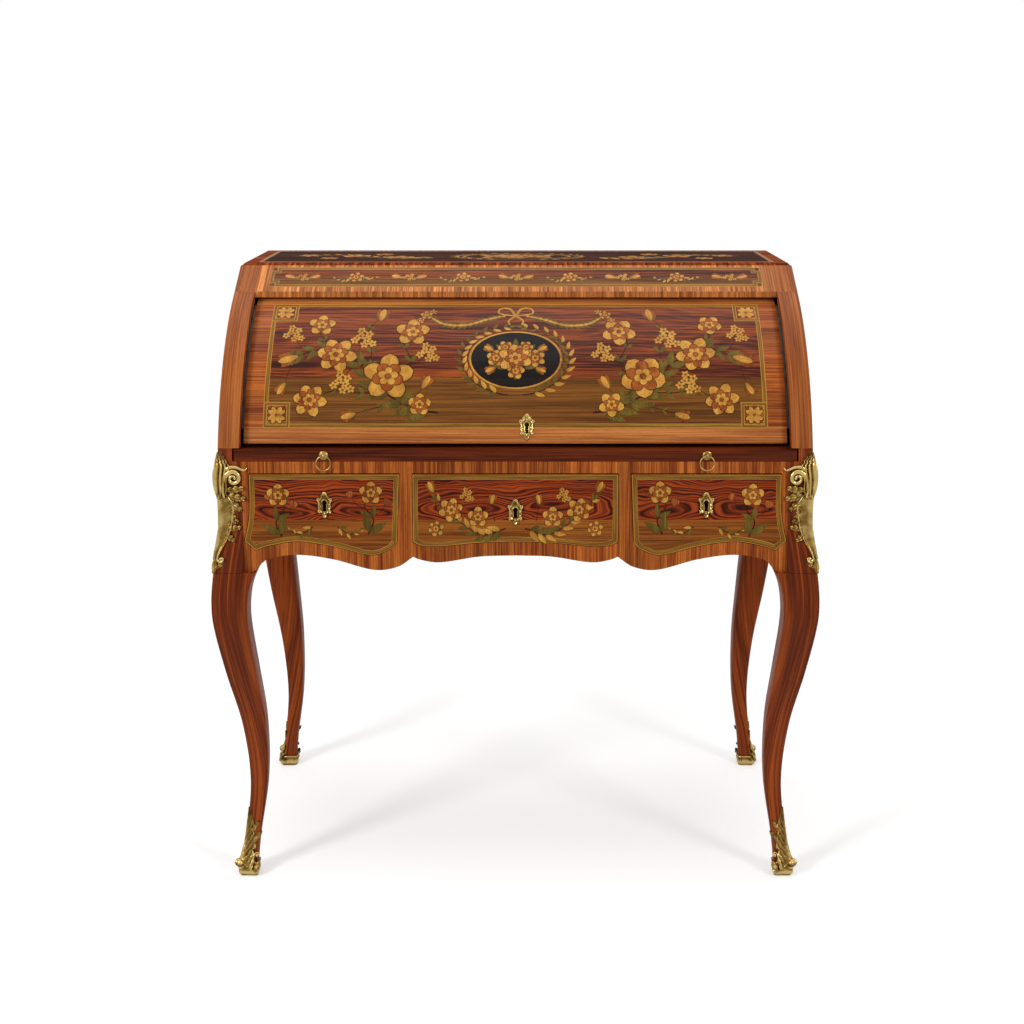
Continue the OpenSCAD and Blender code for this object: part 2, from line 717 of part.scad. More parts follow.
// The lock case sits in a flat seat cut into the shell's inner face.
module lock_cylinder() {
    color(iron) translate([cyl_lock_x, 0, 0]) at_shell(lock_angle, lock_seat) difference() {
        block([-lock_w / 2, 0, -lock_h / 2], [lock_w / 2, lock_t, lock_h / 2]);
        block([-bolt_w / 2 - bolt_gap, 2 - bolt_gap, -lock_h / 2 - 1],
            [bolt_w / 2 + bolt_gap, 2 + bolt_t + bolt_gap, lock_h / 2 - 4]);
        along_y(-1, 3) translate([0, 4]) keyhole();
    }
}
module bolt_cylinder() {
    color(iron) translate([cyl_lock_x, 0, 0]) at_shell(lock_angle, lock_seat)
        block([-bolt_w / 2, 2, -lock_h / 2], [bolt_w / 2, 2 + bolt_t, lock_h / 2 - 4 - bolt_gap]);
}
module bolt_mortise() {
    translate([cyl_lock_x, 0, 0]) at_shell(lock_angle, lock_seat)
        block([-bolt_w / 2 - bolt_gap, 2 - bolt_gap, -lock_h / 2 - cyl_throw - 2],
            [bolt_w / 2 + bolt_gap, 2 + bolt_t + bolt_gap, -lock_h / 2 + 2]);
}
module escutcheon_cylinder() {
    color(gilt) intersection() {
        difference() {
            translate([cyl_lock_x - plate_w, axis_y, axis_h]) rotate([0, 90, 0])
                cylinder(r = shell_r + plate_t, h = 2 * plate_w, $fn = 180);
            translate([cyl_lock_x - plate_w - 1, axis_y, axis_h]) rotate([0, 90, 0])
                cylinder(r = shell_r, h = 2 * plate_w + 2, $fn = 180);
        }
        translate([cyl_lock_x, 0, 0]) at_shell(plate_angle, shell_r) along_y(-plate_t - 2, 4) plate_outline();
    }
}

module slide_lip() {
    color(mahogany) difference() {
        block([-lip_half, front, slide_top - lip_t], [lip_half, front + lip_d, slide_top]);
        bolt_mortise();
    }
}
slide_y0 = front + lip_d;
slide_len = case_d - lip_d - rail_t - slide_stop;
rider_w = 30;
module slide_board() {
    color(oak) difference() {
        block([-slide_half, slide_y0, slide_top - slide_t], [slide_half, slide_y0 + slide_len, slide_top]);
        block([-slide_half + leather_edge, slide_y0 + leather_edge / 2, slide_top - leather_t],
            [slide_half - leather_edge, slide_y0 + slide_len - leather_edge / 2, slide_top + 1]);
    }
    color(oak) both_sides() block([slide_half - rider_w, slide_y0, slide_top - lip_t],
        [slide_half, slide_y0 + slide_len, slide_top - slide_t]);
}
module slide_leather() {
    color(leather)
        block([-slide_half + leather_edge, slide_y0 + leather_edge / 2, slide_top - leather_t],
            [slide_half - leather_edge, slide_y0 + slide_len - leather_edge / 2, slide_top]);
}

// A pull: a turned rosette and an eye on the slide's lip, with a free ring through the eye.
pull_z = slide_top - lip_t / 2;
eye_y = front - eye_out;
module pull_posts() {
    color(gilt) for (x = [-pull_x, pull_x]) difference() {
        translate([x, front, pull_z]) rotate([90, 0, 0]) rotate_extrude($fn = 48) polygon([
            [0, 0], [rosette_r, 0], [rosette_r, 1.2], [rosette_r - 2, 2.4], [3.1, 3],
            [3.1, eye_out + 2.2], [2.2, eye_out + 3.2], [0, eye_out + 3.6]]);
        translate([x - 6, eye_y, pull_z]) rotate([0, 90, 0]) cylinder(r = wire_r + 0.6, h = 12, $fn = 32);
    }
}
module pull_ring(x) {
    color(gilt) translate([x, eye_y, pull_z - ring_r]) rotate([90, 0, 0])
        rotate_extrude($fn = 64) translate([ring_r, 0]) circle(r = wire_r, $fn = 16);
}

// Outline of the upper part's sides: the round front edge, the sloping frieze and the flat top.
arc_end_y = axis_y - edge_r * cos(edge_end);
slope_k = (crest_z - (axis_h + edge_r * sin(edge_end))) / (crest_y - arc_end_y);
function slope_z(y) = crest_z + slope_k * (y - crest_y);
function slope_y(z) = crest_y + (z - crest_z) / slope_k;
function front_arc(r, a0, a1, n) = [for (i = [0:n]) let (a = a0 + i * (a1 - a0) / n)
    [axis_y - r * cos(a), axis_h + r * sin(a)]];
module side_outline() {
    polygon(concat(
        front_arc(edge_r, edge_start, edge_end, 40),
        [[slope_y(top_low), top_low], [case_d / 2, top_low], [case_d / 2, lower_h]]));
}
module side_panel(sx) {
    color(tulipwood) mirror([sx < 0 ? 1 : 0, 0, 0]) along_x(panel_in, half_w) side_outline();
}

frieze_y = axis_y - edge_r * cos(frieze_angle);
module quadrant_stiles() {
    color(tulipwood) both_sides() along_x(panel_in - stile_w, panel_in) intersection() {
        difference() {
            side_outline();
            translate([axis_y, axis_h]) circle(r = edge_r - stile_d, $fn = 180);
        }
        translate([front - 1, lower_h]) square([frieze_y - front + 1, total_h - lower_h]);
    }
}

// The frieze rail fills the corner between the slope, the top board and the cylinder's sweep.
module frieze_rail() {
    color(tulipwood) along_x(-panel_in, panel_in) difference() {
        polygon([
            [frieze_y, slope_z(frieze_y) - frieze_lip], [frieze_y, slope_z(frieze_y)],
            [slope_y(top_low), top_low], [crest_y + frieze_reach, top_low],
            [crest_y + frieze_reach, slope_z(frieze_y) - frieze_lip]]);
        translate([axis_y, axis_h]) circle(r = shell_r + frieze_gap, $fn = 180);
    }
}

module top_board() {
    color(tulipwood) intersection() {
        along_x(-half_w, half_w) polygon([
            [slope_y(top_low), top_low], [crest_y, crest_z], [crest_y + 5, total_h],
            [case_d / 2, total_h], [case_d / 2, top_low]]);
        along_y(front, case_d / 2 + 1) polygon([
            [-half_w, top_low - 1], [half_w, top_low - 1], [half_w, total_h - top_chamfer],
            [half_w - top_chamfer, total_h], [-half_w + top_chamfer, total_h],
            [-half_w, total_h - top_chamfer]]);
    }
}

module back_panel() {
    color(tulipwood) block([-panel_in, back_face, lower_h], [panel_in, case_d / 2, top_low]);
}

// An arm: a boss on the pin, a bar, and a curved plate screwed to the end of the shell.
module arm_outline() {
    difference() {
        union() {
            circle(r = 16, $fn = 48);
            rotate([0, 0, 180 - arm_angle]) translate([0, -arm_w / 2]) square([shell_in + 6, arm_w]);
            arc_outline(shell_in, shell_r - 1, arm_angle - arm_reach, arm_angle + arm_reach);
        }
        circle(r = pin_r + pin_play, $fn = 48);
    }
}
module cylinder_arms() {
    color(iron) both_sides() along_x(shell_half, shell_half + arm_t) translate([axis_y, axis_h]) arm_outline();
}

// A pin: a head inside the arm, a shank, a collar that spaces the arm and a tenon in the case side.
module pivot_pins() {
    head = 4;
    color(iron) both_sides() translate([shell_half - head, axis_y, axis_h]) rotate([0, 90, 0]) {
        cylinder(r = pin_r + 4, h = head - run_gap, $fn = 48);
        cylinder(r = pin_r, h = side_in + pin_set - shell_half + head, $fn = 48);
        translate([0, 0, head + arm_t + run_gap])
            cylinder(r = pin_r + 4, h = side_in - shell_half - arm_t - run_gap, $fn = 48);
    }
}

// The cabinet of pigeonholes: five bays above, a bay between two small drawers below.
cab_half = shell_half - cab_gap;
cab_low = lower_h;
cab_top = top_low - cab_clear;
cab_y = axis_y - cab_lead;
small_len = back_face - cab_board - small_stop - cab_y;
bay_w = (2 * cab_half - 2 * cab_board - 4 * cab_part) / 5;
row_top = cab_low + cab_board + cab_row;
bay_h = cab_top - cab_board - (row_top + cab_part);
small_from = bay_w / 2 + cab_part;
small_to = cab_half - cab_board;
module cabinet() {
    color(oak) along_y(cab_y, back_face) difference() {
        translate([-cab_half, cab_low]) square([2 * cab_half, cab_top - cab_low]);
        for (i = [-2:2])
            translate([i * (bay_w + cab_part) - bay_w / 2, row_top + cab_part]) square([bay_w, bay_h]);
        translate([-bay_w / 2, cab_low + cab_board]) square([bay_w, cab_row]);
        for (s = [0, 1])
            mirror([s, 0]) translate([small_from, cab_low + cab_board])
                square([small_to - small_from, cab_row]);
    }
    color(oak) block([-small_to, back_face - cab_board, cab_low + cab_board],
        [small_to, back_face, cab_top - cab_board]);
}
module small_drawer(sx) {
    color(oak) mirror([sx < 0 ? 1 : 0, 0, 0]) difference() {
        block([small_from + side_gap, cab_y, cab_low + cab_board + run_gap],
            [small_to - side_gap, cab_y + small_len, row_top - side_gap]);
        block([small_from + side_gap + small_wall, cab_y + 2 * small_wall,
                cab_low + cab_board + run_gap + small_wall],
            [small_to - side_gap - small_wall, cab_y + small_len - small_wall, row_top]);
    }
}
small_x = (small_from + small_to) / 2;
small_z = cab_low + cab_board + cab_row / 2;
module small_knob(sx) {
    color(gilt) translate([sx * small_x, cab_y, small_z]) rotate([90, 0, 0]) rotate_extrude($fn = 48) polygon([
        [0, 0], [0.8 * knob_r, 0], [0.8 * knob_r, 1], [0.35 * knob_r, 2.5], [0.35 * knob_r, 5],
        [0.85 * knob_r, 7], [knob_r, 9.5], [0.85 * knob_r, 12], [0.4 * knob_r, 13.5], [0, 14]]);
}

leg(-1, -1);  // leg_front_left
leg(1, -1);  // leg_front_right
leg(-1, 1);  // leg_rear_left
leg(1, 1);  // leg_rear_right
sabot(-1, -1);  // sabot_front_left
sabot(1, -1);  // sabot_front_right
sabot(-1, 1);  // sabot_rear_left
sabot(1, 1);  // sabot_rear_right
corner_mount(-1, -1);  // mount_front_left
corner_mount(1, -1);  // mount_front_right
corner_mount(-1, 1);  // mount_rear_left
corner_mount(1, 1);  // mount_rear_right
apron_front();
apron_back();
side_rail(-1);  // side_rail_left
side_rail(1);  // side_rail_right
drawer_rail();
drawer_dividers();
dust_board();
slide_guides();
drawer_runners();
drawer_front(-pull_x, outer_key_z) mirror([1, 0]) outer_outline(0);  // drawer_left_front
drawer_box(-box_outer_to, -box_outer_from);  // drawer_left_box
drawer_front(0, middle_key_z) middle_outline(0);  // drawer_middle_front
drawer_box(-mid_half, mid_half);  // drawer_middle_box
drawer_front(pull_x, outer_key_z) outer_outline(0);  // drawer_right_front
drawer_box(box_outer_from, box_outer_to);  // drawer_right_box
slide_board();
slide_lip();
slide_leather();
pull_posts();
pull_ring(-pull_x);  // pull_ring_left
pull_ring(pull_x);  // pull_ring_right
side_panel(-1);  // side_panel_left
side_panel(1);  // side_panel_right
quadrant_stiles();
back_panel();
top_board();
frieze_rail();
cylinder_shell();
cylinder_arms();
pivot_pins();
cabinet();
small_drawer(-1);  // small_drawer_left
small_drawer(1);  // small_drawer_right
small_knob(-1);  // small_knob_left
small_knob(1);  // small_knob_right
drawer_lock(-pull_x, outer_key_z);  // lock_left
drawer_lock(0, middle_key_z);  // lock_middle
drawer_lock(pull_x, outer_key_z);  // lock_right
lock_cylinder();
drawer_bolt(-pull_x);  // bolt_left
drawer_bolt(0);  // bolt_middle
drawer_bolt(pull_x);  // bolt_right
bolt_cylinder();
escutcheon(-pull_x, outer_key_z);  // escutcheon_left
escutcheon(0, middle_key_z);  // escutcheon_middle
escutcheon(pull_x, outer_key_z);  // escutcheon_right
escutcheon_cylinder();
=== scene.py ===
import bmesh
import bpy
import numpy as np
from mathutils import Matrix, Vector


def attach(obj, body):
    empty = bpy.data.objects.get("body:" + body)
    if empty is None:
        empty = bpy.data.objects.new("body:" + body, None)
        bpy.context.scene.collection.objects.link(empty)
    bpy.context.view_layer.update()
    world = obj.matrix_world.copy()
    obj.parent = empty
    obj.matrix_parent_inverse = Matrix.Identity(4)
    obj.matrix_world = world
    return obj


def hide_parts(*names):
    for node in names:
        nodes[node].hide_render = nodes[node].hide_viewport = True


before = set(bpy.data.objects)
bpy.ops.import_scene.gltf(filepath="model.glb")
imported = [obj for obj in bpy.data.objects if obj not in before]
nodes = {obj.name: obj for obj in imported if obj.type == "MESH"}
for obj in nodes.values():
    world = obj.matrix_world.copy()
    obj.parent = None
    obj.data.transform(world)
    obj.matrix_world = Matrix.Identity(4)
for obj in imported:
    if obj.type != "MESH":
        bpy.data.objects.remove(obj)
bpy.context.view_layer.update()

# The desk's main sizes in metres and degrees, as the CAD part has them.
desk = dict(halfWidth=0.490, halfDepth=0.260, joint=0.548, flareTop=0.625, dustTop=0.7357, lowerTop=0.758,
            top=1.040, axisY=0.104834, axisZ=0.663, edgeRadius=0.377, shellRadius=0.360, shellInner=0.346,
            shellHalf=0.451, shellLow=16.005, shellHigh=64.5, edgeStart=14.6, edgeEnd=58.0, crestY=-0.005653,
            crestZ=1.036, friezeY=-0.072157, friezeZ=0.996314, slope=0.596760, drawerX=0.316,
            leatherZ=0.756, topSink=0.0004)
sides = (("Left", -1), ("Right", 1))


def srgb(red, green, blue):
    # A colour as seen on screen, 0 to 255, turned into the linear value that a shader takes.
    c = np.array([red, green, blue]) / 255
    return tuple(np.where(c > 0.04045, ((c + 0.055) / 1.055) ** 2.4, c / 12.92)) + (1.0,)


# Curves and grids

def unit(v):
    return v / (np.linalg.norm(v, axis=-1, keepdims=True) + 1e-12)


def onCircle(w):
    return np.stack([np.cos(w), np.sin(w)], -1)


def steps(n):
    # The angles of n even steps round a circle.
    return np.linspace(0, 2 * np.pi, n, endpoint=False)


def spot(x, y, z):
    # Points from their three coordinates, each a number or a grid.
    return np.stack(np.broadcast_arrays(x, y, z), -1)


def smoothThrough(stations, places):
    # The part's own curve: a cubic between stations whose slope at each is that between its neighbours.
    s, v = np.array(stations, float).T
    k = np.arange(len(s))
    lo, hi = np.maximum(k - 1, 0), np.minimum(k + 1, len(s) - 1)
    slopes = (v[hi] - v[lo]) / (s[hi] - s[lo])
    i = np.clip(np.searchsorted(s, places, side="right") - 1, 0, len(s) - 2)
    h = s[i + 1] - s[i]
    t = np.clip((places - s[i]) / h, 0, 1)
    return ((2 * t**3 - 3 * t**2 + 1) * v[i] + (t**3 - 2 * t**2 + t) * h * slopes[i]
            + (3 * t**2 - 2 * t**3) * v[i + 1] + (t**3 - t**2) * h * slopes[i + 1])


def sweep(points, n=30):
    # A smooth curve through a few points: the same cubic, on the points' running number.
    k, s = np.arange(len(points)), np.linspace(0, len(points) - 1, n)
    return np.stack([smoothThrough(np.stack([k, np.array(points)[:, j]], 1), s) for j in (0, 1)], 1)


def handed(points, hand, middle=0.0):
    # Points given on the right of a middle line, put on either side of it.
    return np.array(points, float) * [hand, 1] + [middle, 0]


def swung(degrees, hand):
    # A heading given for the right, turned over for the left.
    return degrees if hand > 0 else 180 - degrees


def shell(points, uv=None, closed=False, mat=0, flip=False):
    # A grid of points, rows by columns, joined into four-sided faces; closed joins each row's two ends.
    rows, cols = points.shape[:2]
    if uv is None:
        uv = np.stack(np.meshgrid(np.linspace(0, 1, cols), np.linspace(0, 1, rows)), -1)
    r, c = np.arange(rows - 1)[:, None] * cols, np.arange(cols if closed else cols - 1)
    c2 = (c + 1) % cols
    quads = np.stack([r + c, r + c2, r + cols + c2, r + cols + c], -1).reshape(-1, 4)
    return dict(points=points.reshape(-1, 3), uv=np.broadcast_to(uv, (rows, cols, 2)).reshape(-1, 2),
                faces=(quads[:, ::-1] if flip else quads).tolist(), mat=mat)


def lid(points, uv=None, mat=0, flip=False):
    # One flat face through a loop of points.
    face = list(range(len(points)))[::-1 if flip else 1]
    return dict(points=points, uv=points[:, :2] if uv is None else uv, faces=[face], mat=mat)


def piece(name, shells, materials, body="case", replaced=(), sharp=40):
    # Joins shells into one mesh with smooth shading up to the given angle, and ties it to its body.
    starts = np.cumsum([0] + [len(s["points"]) for s in shells]).tolist()
    uv = np.concatenate([s["uv"] for s in shells])
    mesh = bpy.data.meshes.new(name)
    mesh.from_pydata(np.concatenate([s["points"] for s in shells]).tolist(), [],
                     [[k + i for i in f] for s, k in zip(shells, starts) for f in s["faces"]])
    corner = np.zeros(len(mesh.loops), dtype=np.int32)
    mesh.loops.foreach_get("vertex_index", corner)
    mesh.uv_layers.new(name="UVMap").data.foreach_set("uv", uv[corner].astype(np.float32).ravel())
    mesh.polygons.foreach_set("material_index", [s["mat"] for s in shells for f in s["faces"]])
    mesh.shade_smooth()
    mesh.set_sharp_from_angle(angle=np.radians(sharp))
    for m in materials if isinstance(materials, list) else [materials]:
        mesh.materials.append(m)
    obj = bpy.data.objects.new(name, mesh)
    bpy.context.scene.collection.objects.link(obj)
    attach(obj, body)
    if replaced:
        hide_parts(*replaced)
    return obj


def outwards(obj):
    # Turns a closed mesh's faces outwards after its doubled points are merged.
    bm = bmesh.new()
    bm.from_mesh(obj.data)
    bmesh.ops.remove_doubles(bm, verts=bm.verts, dist=1e-6)
    bmesh.ops.recalc_face_normals(bm, faces=bm.faces)
    bm.to_mesh(obj.data)
    bm.free()


# Node helpers; each finds its tree from the sockets that it is given.

def treeOf(*values):
    return next(v.id_data for v in values if isinstance(v, bpy.types.NodeSocket))


def feed(node, inputs):
    for k, v in inputs.items():
        if isinstance(v, bpy.types.NodeSocket):
            node.id_data.links.new(v, node.inputs[k])
        else:
            node.inputs[k].default_value = v


def addNode(tree, kind, inputs=None, **settings):
    n = tree.nodes.new("ShaderNode" + kind)
    for k, v in settings.items():
        setattr(n, k, v)
    feed(n, inputs or {})
    return n


def maths(op, *values, clamp=False):
    return addNode(treeOf(*values), "Math", dict(enumerate(values)), operation=op, use_clamp=clamp).outputs[0]


def times(a, b):
    return maths("MULTIPLY", a, b)


def plus(a, b):
    return maths("ADD", a, b)


def minus(a, b):
    return maths("SUBTRACT", a, b)


def fit(a, gain, offset, clamp=False):
    return maths("MULTIPLY_ADD", a, gain, offset, clamp=clamp)


def under(a, b):
    return maths("LESS_THAN", a, b)


def absolute(a):
    return maths("ABSOLUTE", a)


def vector(op, a, b):
    return addNode(treeOf(a, b), "VectorMath", {0: a, 1: b}, operation=op).outputs[0]


def stretch(a, *factors):
    return vector("MULTIPLY", a, factors)


def split(a):
    return addNode(treeOf(a), "SeparateXYZ", {0: a}).outputs


def combine(*values):
    return addNode(treeOf(*values), "CombineXYZ", dict(enumerate(values))).outputs[0]


def noise(at, scale, detail, rough=0.5, out=0):
    inputs = {"Vector": at, "Scale": scale, "Detail": detail, "Roughness": rough}
    return addNode(treeOf(at), "TexNoise", inputs).outputs[out]


def mixColour(factor, a, b, blend="MIX"):
    tree = treeOf(factor, a, b)
    return addNode(tree, "Mix", {0: factor, 6: a, 7: b}, data_type="RGBA", blend_type=blend).outputs[2]


def ramp(value, *stops):
    n = addNode(treeOf(value), "ValToRGB", {0: value})
    e = n.color_ramp.elements
    while len(e) < len(stops):
        e.new(0.5)
    for el, (p, c) in zip(e, stops):
        el.position, el.color = p, srgb(*c)
    return n.outputs[0]


def bumped(height, strength, distance):
    inputs = {"Strength": strength, "Distance": distance, "Height": height}
    return addNode(treeOf(height), "Bump", inputs).outputs[0]


def newGroup(name, inputs, outputs):
    # Each input has its name and its value: None for a vector, a number, or four numbers for a colour.
    # The output named Color is a colour, and the others are numbers.
    g = bpy.data.node_groups.new(name, "ShaderNodeTree")
    kinds = {type(None): "Vector", float: "Float", tuple: "Color"}
    for n, value in inputs.items():
        s = g.interface.new_socket(n, in_out="INPUT", socket_type="NodeSocket" + kinds[type(value)])
        if value is not None:
            s.default_value = value
    for n in outputs:
        kind = "NodeSocketColor" if n == "Color" else "NodeSocketFloat"
        g.interface.new_socket(n, in_out="OUTPUT", socket_type=kind)
    return g, g.nodes.new("NodeGroupInput").outputs, g.nodes.new("NodeGroupOutput")


def newMaterial(name):
    m = bpy.data.materials.new(name)
    m.use_nodes = True
    t = m.node_tree
    return m, t.nodes["Principled BSDF"], addNode(t, "TexCoord").outputs


# Shared effects

def makeVeneerGrain():
    # Wood whose grain runs along X of the vector it is given, in metres. Leaves of veneer follow each
    # other along Y, each with its own tone and its own place in the log. Streaks are noise stretched
    # along the grain, the flame is bands bent by slow noise, and pores are fine short dark dashes.
    g, i, o = newGroup("veneerGrain", {
        "Vector": None, "Light": (0.5, 0.2, 0.1, 1), "Mid": (0.3, 0.1, 0.05, 1), "Dark": (0.1, 0.02, 0.01, 1),
        "Leaf width": 10.0, "Leaf tone": 0.2, "Streak scale": 460.0, "Flame": 0.0, "Flame scale": 60.0,
        "Contrast": 1.5}, ("Color", "Height"))
    xyz = split(i["Vector"])
    leaf = maths("FLOOR", maths("DIVIDE", xyz[1], i["Leaf width"]))
    chance = addNode(g, "TexWhiteNoise", {"W": leaf}, noise_dimensions="1D").outputs
    shifted = vector("ADD", i["Vector"], stretch(chance["Color"], 0.8, 0.0, 0.7))
    slow = noise(stretch(shifted, 1.6, 9.0, 9.0), 1.0, 2.0, out=1)
    bend = vector("ADD", shifted, stretch(slow, 0.0, 0.010, 0.010))
    streak = noise(stretch(bend, 0.013, 1.0, 1.0), i["Streak scale"], 4.0, 0.62)
    broad = noise(stretch(bend, 0.03, 1.0, 1.0), 60.0, 2.0)
    pulled = noise(stretch(shifted, 5.0, 22.0, 22.0), 1.0, 1.0)
    phase = plus(times(plus(xyz[1], xyz[2]), i["Flame scale"]), times(pulled, 9.0))
    flame = fit(maths("SINE", times(phase, 6.2832)), 0.5, 0.5)
    tone = plus(times(streak, 0.62), times(broad, 0.38))
    tone = fit(minus(tone, 0.5), i["Contrast"], 0.5)
    tone = plus(tone, times(minus(flame, 0.5), i["Flame"]))
    colour = mixColour(fit(tone, 3.4, -1.05, True), i["Dark"], i["Mid"])
    colour = mixColour(fit(tone, 3.2, -1.45, True), colour, i["Light"])
    gain = fit(minus(chance["Value"], 0.5), i["Leaf tone"], 1.0)
    colour = mixColour(1.0, colour, combine(gain, gain, gain), "MULTIPLY")
    pore = fit(noise(stretch(bend, 0.06, 1.0, 1.0), 1500.0, 1.0), 7.0, -4.1, True)
    colour = mixColour(times(pore, 0.42), colour, i["Dark"])
    feed(o, {"Color": colour, "Height": minus(streak, times(pore, 0.7))})
    return g


def makeHandling():
    # Years of polish and use: soft cloudy differences of shine between the two given roughnesses.
    g, i, o = newGroup("handling", {"Vector": None, "Low": 0.25, "High": 0.45}, ("Roughness",))
    both = plus(times(noise(i["Vector"], 14.0, 5.0), 0.7), times(noise(i["Vector"], 210.0, 3.0), 0.3))
    feed(o, {"Roughness": fit(fit(both, 2.4, -0.7, True), minus(i["High"], i["Low"]), i["Low"])})
    return g


def makeGilding():
    # Mercury gilding: burnished on the crests and matt and browner in the hollows, with fine chasing marks.
    g, i, o = newGroup("gilding", {"Vector": None, "Crest": 0.6}, ("Color", "Roughness", "Height"))
    cloud = noise(i["Vector"], 90.0, 4.0)
    worn = maths("ADD", times(cloud, 0.9), fit(i["Crest"], 1.05, -0.56), clamp=True)
    feed(o, {"Color": ramp(worn, (0.0, (76, 55, 23)), (0.42, (154, 121, 61)), (0.82, (228, 199, 128))),
             "Roughness": fit(worn, -0.24, 0.46),
             "Height": plus(times(cloud, 0.4), times(noise(i["Vector"], 900.0, 3.0), 0.6))})
    return g


veneerGrain, handling, gilding = makeVeneerGrain(), makeHandling(), makeGilding()

# Woods, each with its light, middle and dark colour as they look in a plain light.
woods = dict(tulipwood=((212, 124, 50), (160, 78, 26), (92, 34, 8)),
             tulipDark=((176, 84, 24), (130, 52, 12), (68, 22, 4)),
             stileTulip=((196, 118, 56), (158, 84, 36), (104, 46, 15)),
             kingwood=((168, 70, 22), (110, 32, 8), (38, 8, 3)),
             rosewood=((172, 90, 32), (112, 44, 12), (46, 13, 4)),
             floorWood=((154, 96, 34), (116, 68, 18), (72, 38, 9)),
             bandTulip=((228, 152, 84), (184, 108, 50), (124, 58, 20)),
             topField=((88, 38, 14), (56, 20, 6), (26, 8, 3)),
             cylinderGround=((160, 78, 26), (108, 38, 10), (46, 12, 3)),
             lipWood=((122, 50, 14), (84, 28, 6), (40, 11, 2)),
             drawerFloor=((176, 104, 38), (136, 72, 20), (84, 40, 9)),
             burnt=((70, 36, 13), (50, 24, 8), (30, 13, 4)),
             olive=((174, 128, 50), (138, 96, 32), (90, 58, 16)),
             boxwood=((234, 180, 86), (212, 152, 60), (164, 104, 34)),
             greenWood=((142, 118, 44), (108, 88, 28), (68, 56, 16)),
             ebony=((36, 25, 19), (22, 14, 11), (12, 8, 6)),
             oak=((182, 130, 66), (150, 100, 46), (104, 64, 26)))

# Polishes: lowest and highest roughness, coat, and how much the surface mirrors.
polishes = dict(french=(0.30, 0.46, 0.03, 0.13), waxed=(0.45, 0.65, 0.0, 0.13),
                cylinder=(0.34, 0.48, 0.03, 0.16), frieze=(0.38, 0.52, 0.03, 0.14),
                top=(0.52, 0.64, 0.0, 0.02), topInlay=(0.50, 0.62, 0.0, 0.04))


def woodShader(name, mix, polish="french"):
    # A polished wood. mix(object vector, uv) gives its colour and the height of its grain.
    low, high, coat, mirror = polishes[polish]
    m, bsdf, at = newMaterial(name)
    colour, height = mix(at["Object"], at["UV"])
    inputs = {"Vector": at["Object"], "Low": low, "High": high}
    use = addNode(m.node_tree, "Group", inputs, node_tree=handling)
    feed(bsdf, {"Base Color": colour, "Roughness": use.outputs[0], "Normal": bumped(height, 0.35, 0.00025),
                "IOR": 1.48, "Coat Weight": coat, "Coat Roughness": 0.16, "Specular IOR Level": mirror})
    return m


def grain(at, wood, leaf=10.0, tone=0.0, streak=460.0, flame=0.0, flameScale=60.0, contrast=1.5):
    light, mid, dark = (srgb(*c) for c in woods[wood])
    inputs = {"Vector": at, "Light": light, "Mid": mid, "Dark": dark, "Leaf width": leaf, "Leaf tone": tone,
              "Streak scale": streak, "Flame": flame, "Flame scale": flameScale, "Contrast": contrast}
    n = addNode(treeOf(at), "Group", inputs, node_tree=veneerGrain)
    return n.outputs[0], n.outputs[1]


def axes(at, order):
    # Reorders a vector's parts, so that the grain's X is any axis of the desk: "zxy" makes the grain upright.
    s = split(at)
    return combine(*(s["xyz".index(c)] for c in order))


def plainWood(name, wood, order="xyz", fromUv=False, polish="french", **kinds):
    def mix(o, uv):
        return grain(axes(uv if fromUv else o, order), wood, **kinds)
    return woodShader(name, mix, polish)


def inlayShader(name, wood, polish="french"):
    # Cut veneer, shaded with hot sand: darker at the stalk, at the rim and along one side of the midrib.
    def mix(o, uv):
        colour, height = grain(axes(o, "zxy"), wood, streak=700.0, contrast=1.0)
        s = split(uv)
        off = minus(s[0], 0.5)
        edge = times(absolute(off), 2.0)
        stalk = maths("POWER", maths("SUBTRACT", 1.0, s[1], clamp=True), 2.5)
        shade = plus(times(stalk, 0.6), times(fit(edge, -9.0, 1.0, True), 0.35))
        shade = plus(times(fit(off, 9.0, 0.5, True), 0.22), shade)
        shade = maths("ADD", times(maths("POWER", edge, 7.0), 0.75), shade, clamp=True)
        return mixColour(times(shade, 0.55), colour, srgb(64, 34, 16)), height
    return woodShader(name, mix, polish)


# Materials of the plain faces

uprightTulip = plainWood("uprightTulip", "tulipwood", "zxy", leaf=0.042, tone=0.34, contrast=1.2)
uprightTulipSide = plainWood("uprightTulipSide", "tulipwood", "zyx", leaf=0.042, tone=0.34, contrast=1.2)
levelTulip = plainWood("levelTulip", "tulipwood", "xzy")
narrowTulip = plainWood("narrowTulip", "bandTulip", "zxy", leaf=0.0045, tone=0.5, contrast=1.0)
legTulip = plainWood("legTulip", "tulipDark", "yxz", True, leaf=0.031, tone=0.16, streak=380.0, contrast=1.1)
darkLip = plainWood("darkLip", "lipWood", "xzy", streak=520.0, contrast=1.3)
oakAlongX = plainWood("oakAlongX", "oak", "xyz", polish="waxed", streak=240.0, contrast=1.0)
oakAlongY = plainWood("oakAlongY", "oak", "yxz", polish="waxed", streak=240.0, contrast=1.0)
ebonyInlay = plainWood("ebonyInlay", "ebony", streak=500.0)
bandWoods = [plainWood("oliveBand", "olive", fromUv=True, streak=600.0),
             plainWood("lightLine", "boxwood", fromUv=True, streak=900.0, contrast=0.5)]
crossBand = plainWood("crossBand", "tulipwood", "yxz", True, leaf=0.045, tone=0.4)
inlayWoods = [inlayShader("boxInlay", "boxwood"), inlayShader("greenInlay", "greenWood"),
              inlayShader("tulipInlay", "tulipwood"), ebonyInlay,
              plainWood("burntWood", "burnt", streak=500.0)]
boxV, greenV, tulipV, ebonyV, burntV = range(5)  # the veneers' places in the list above

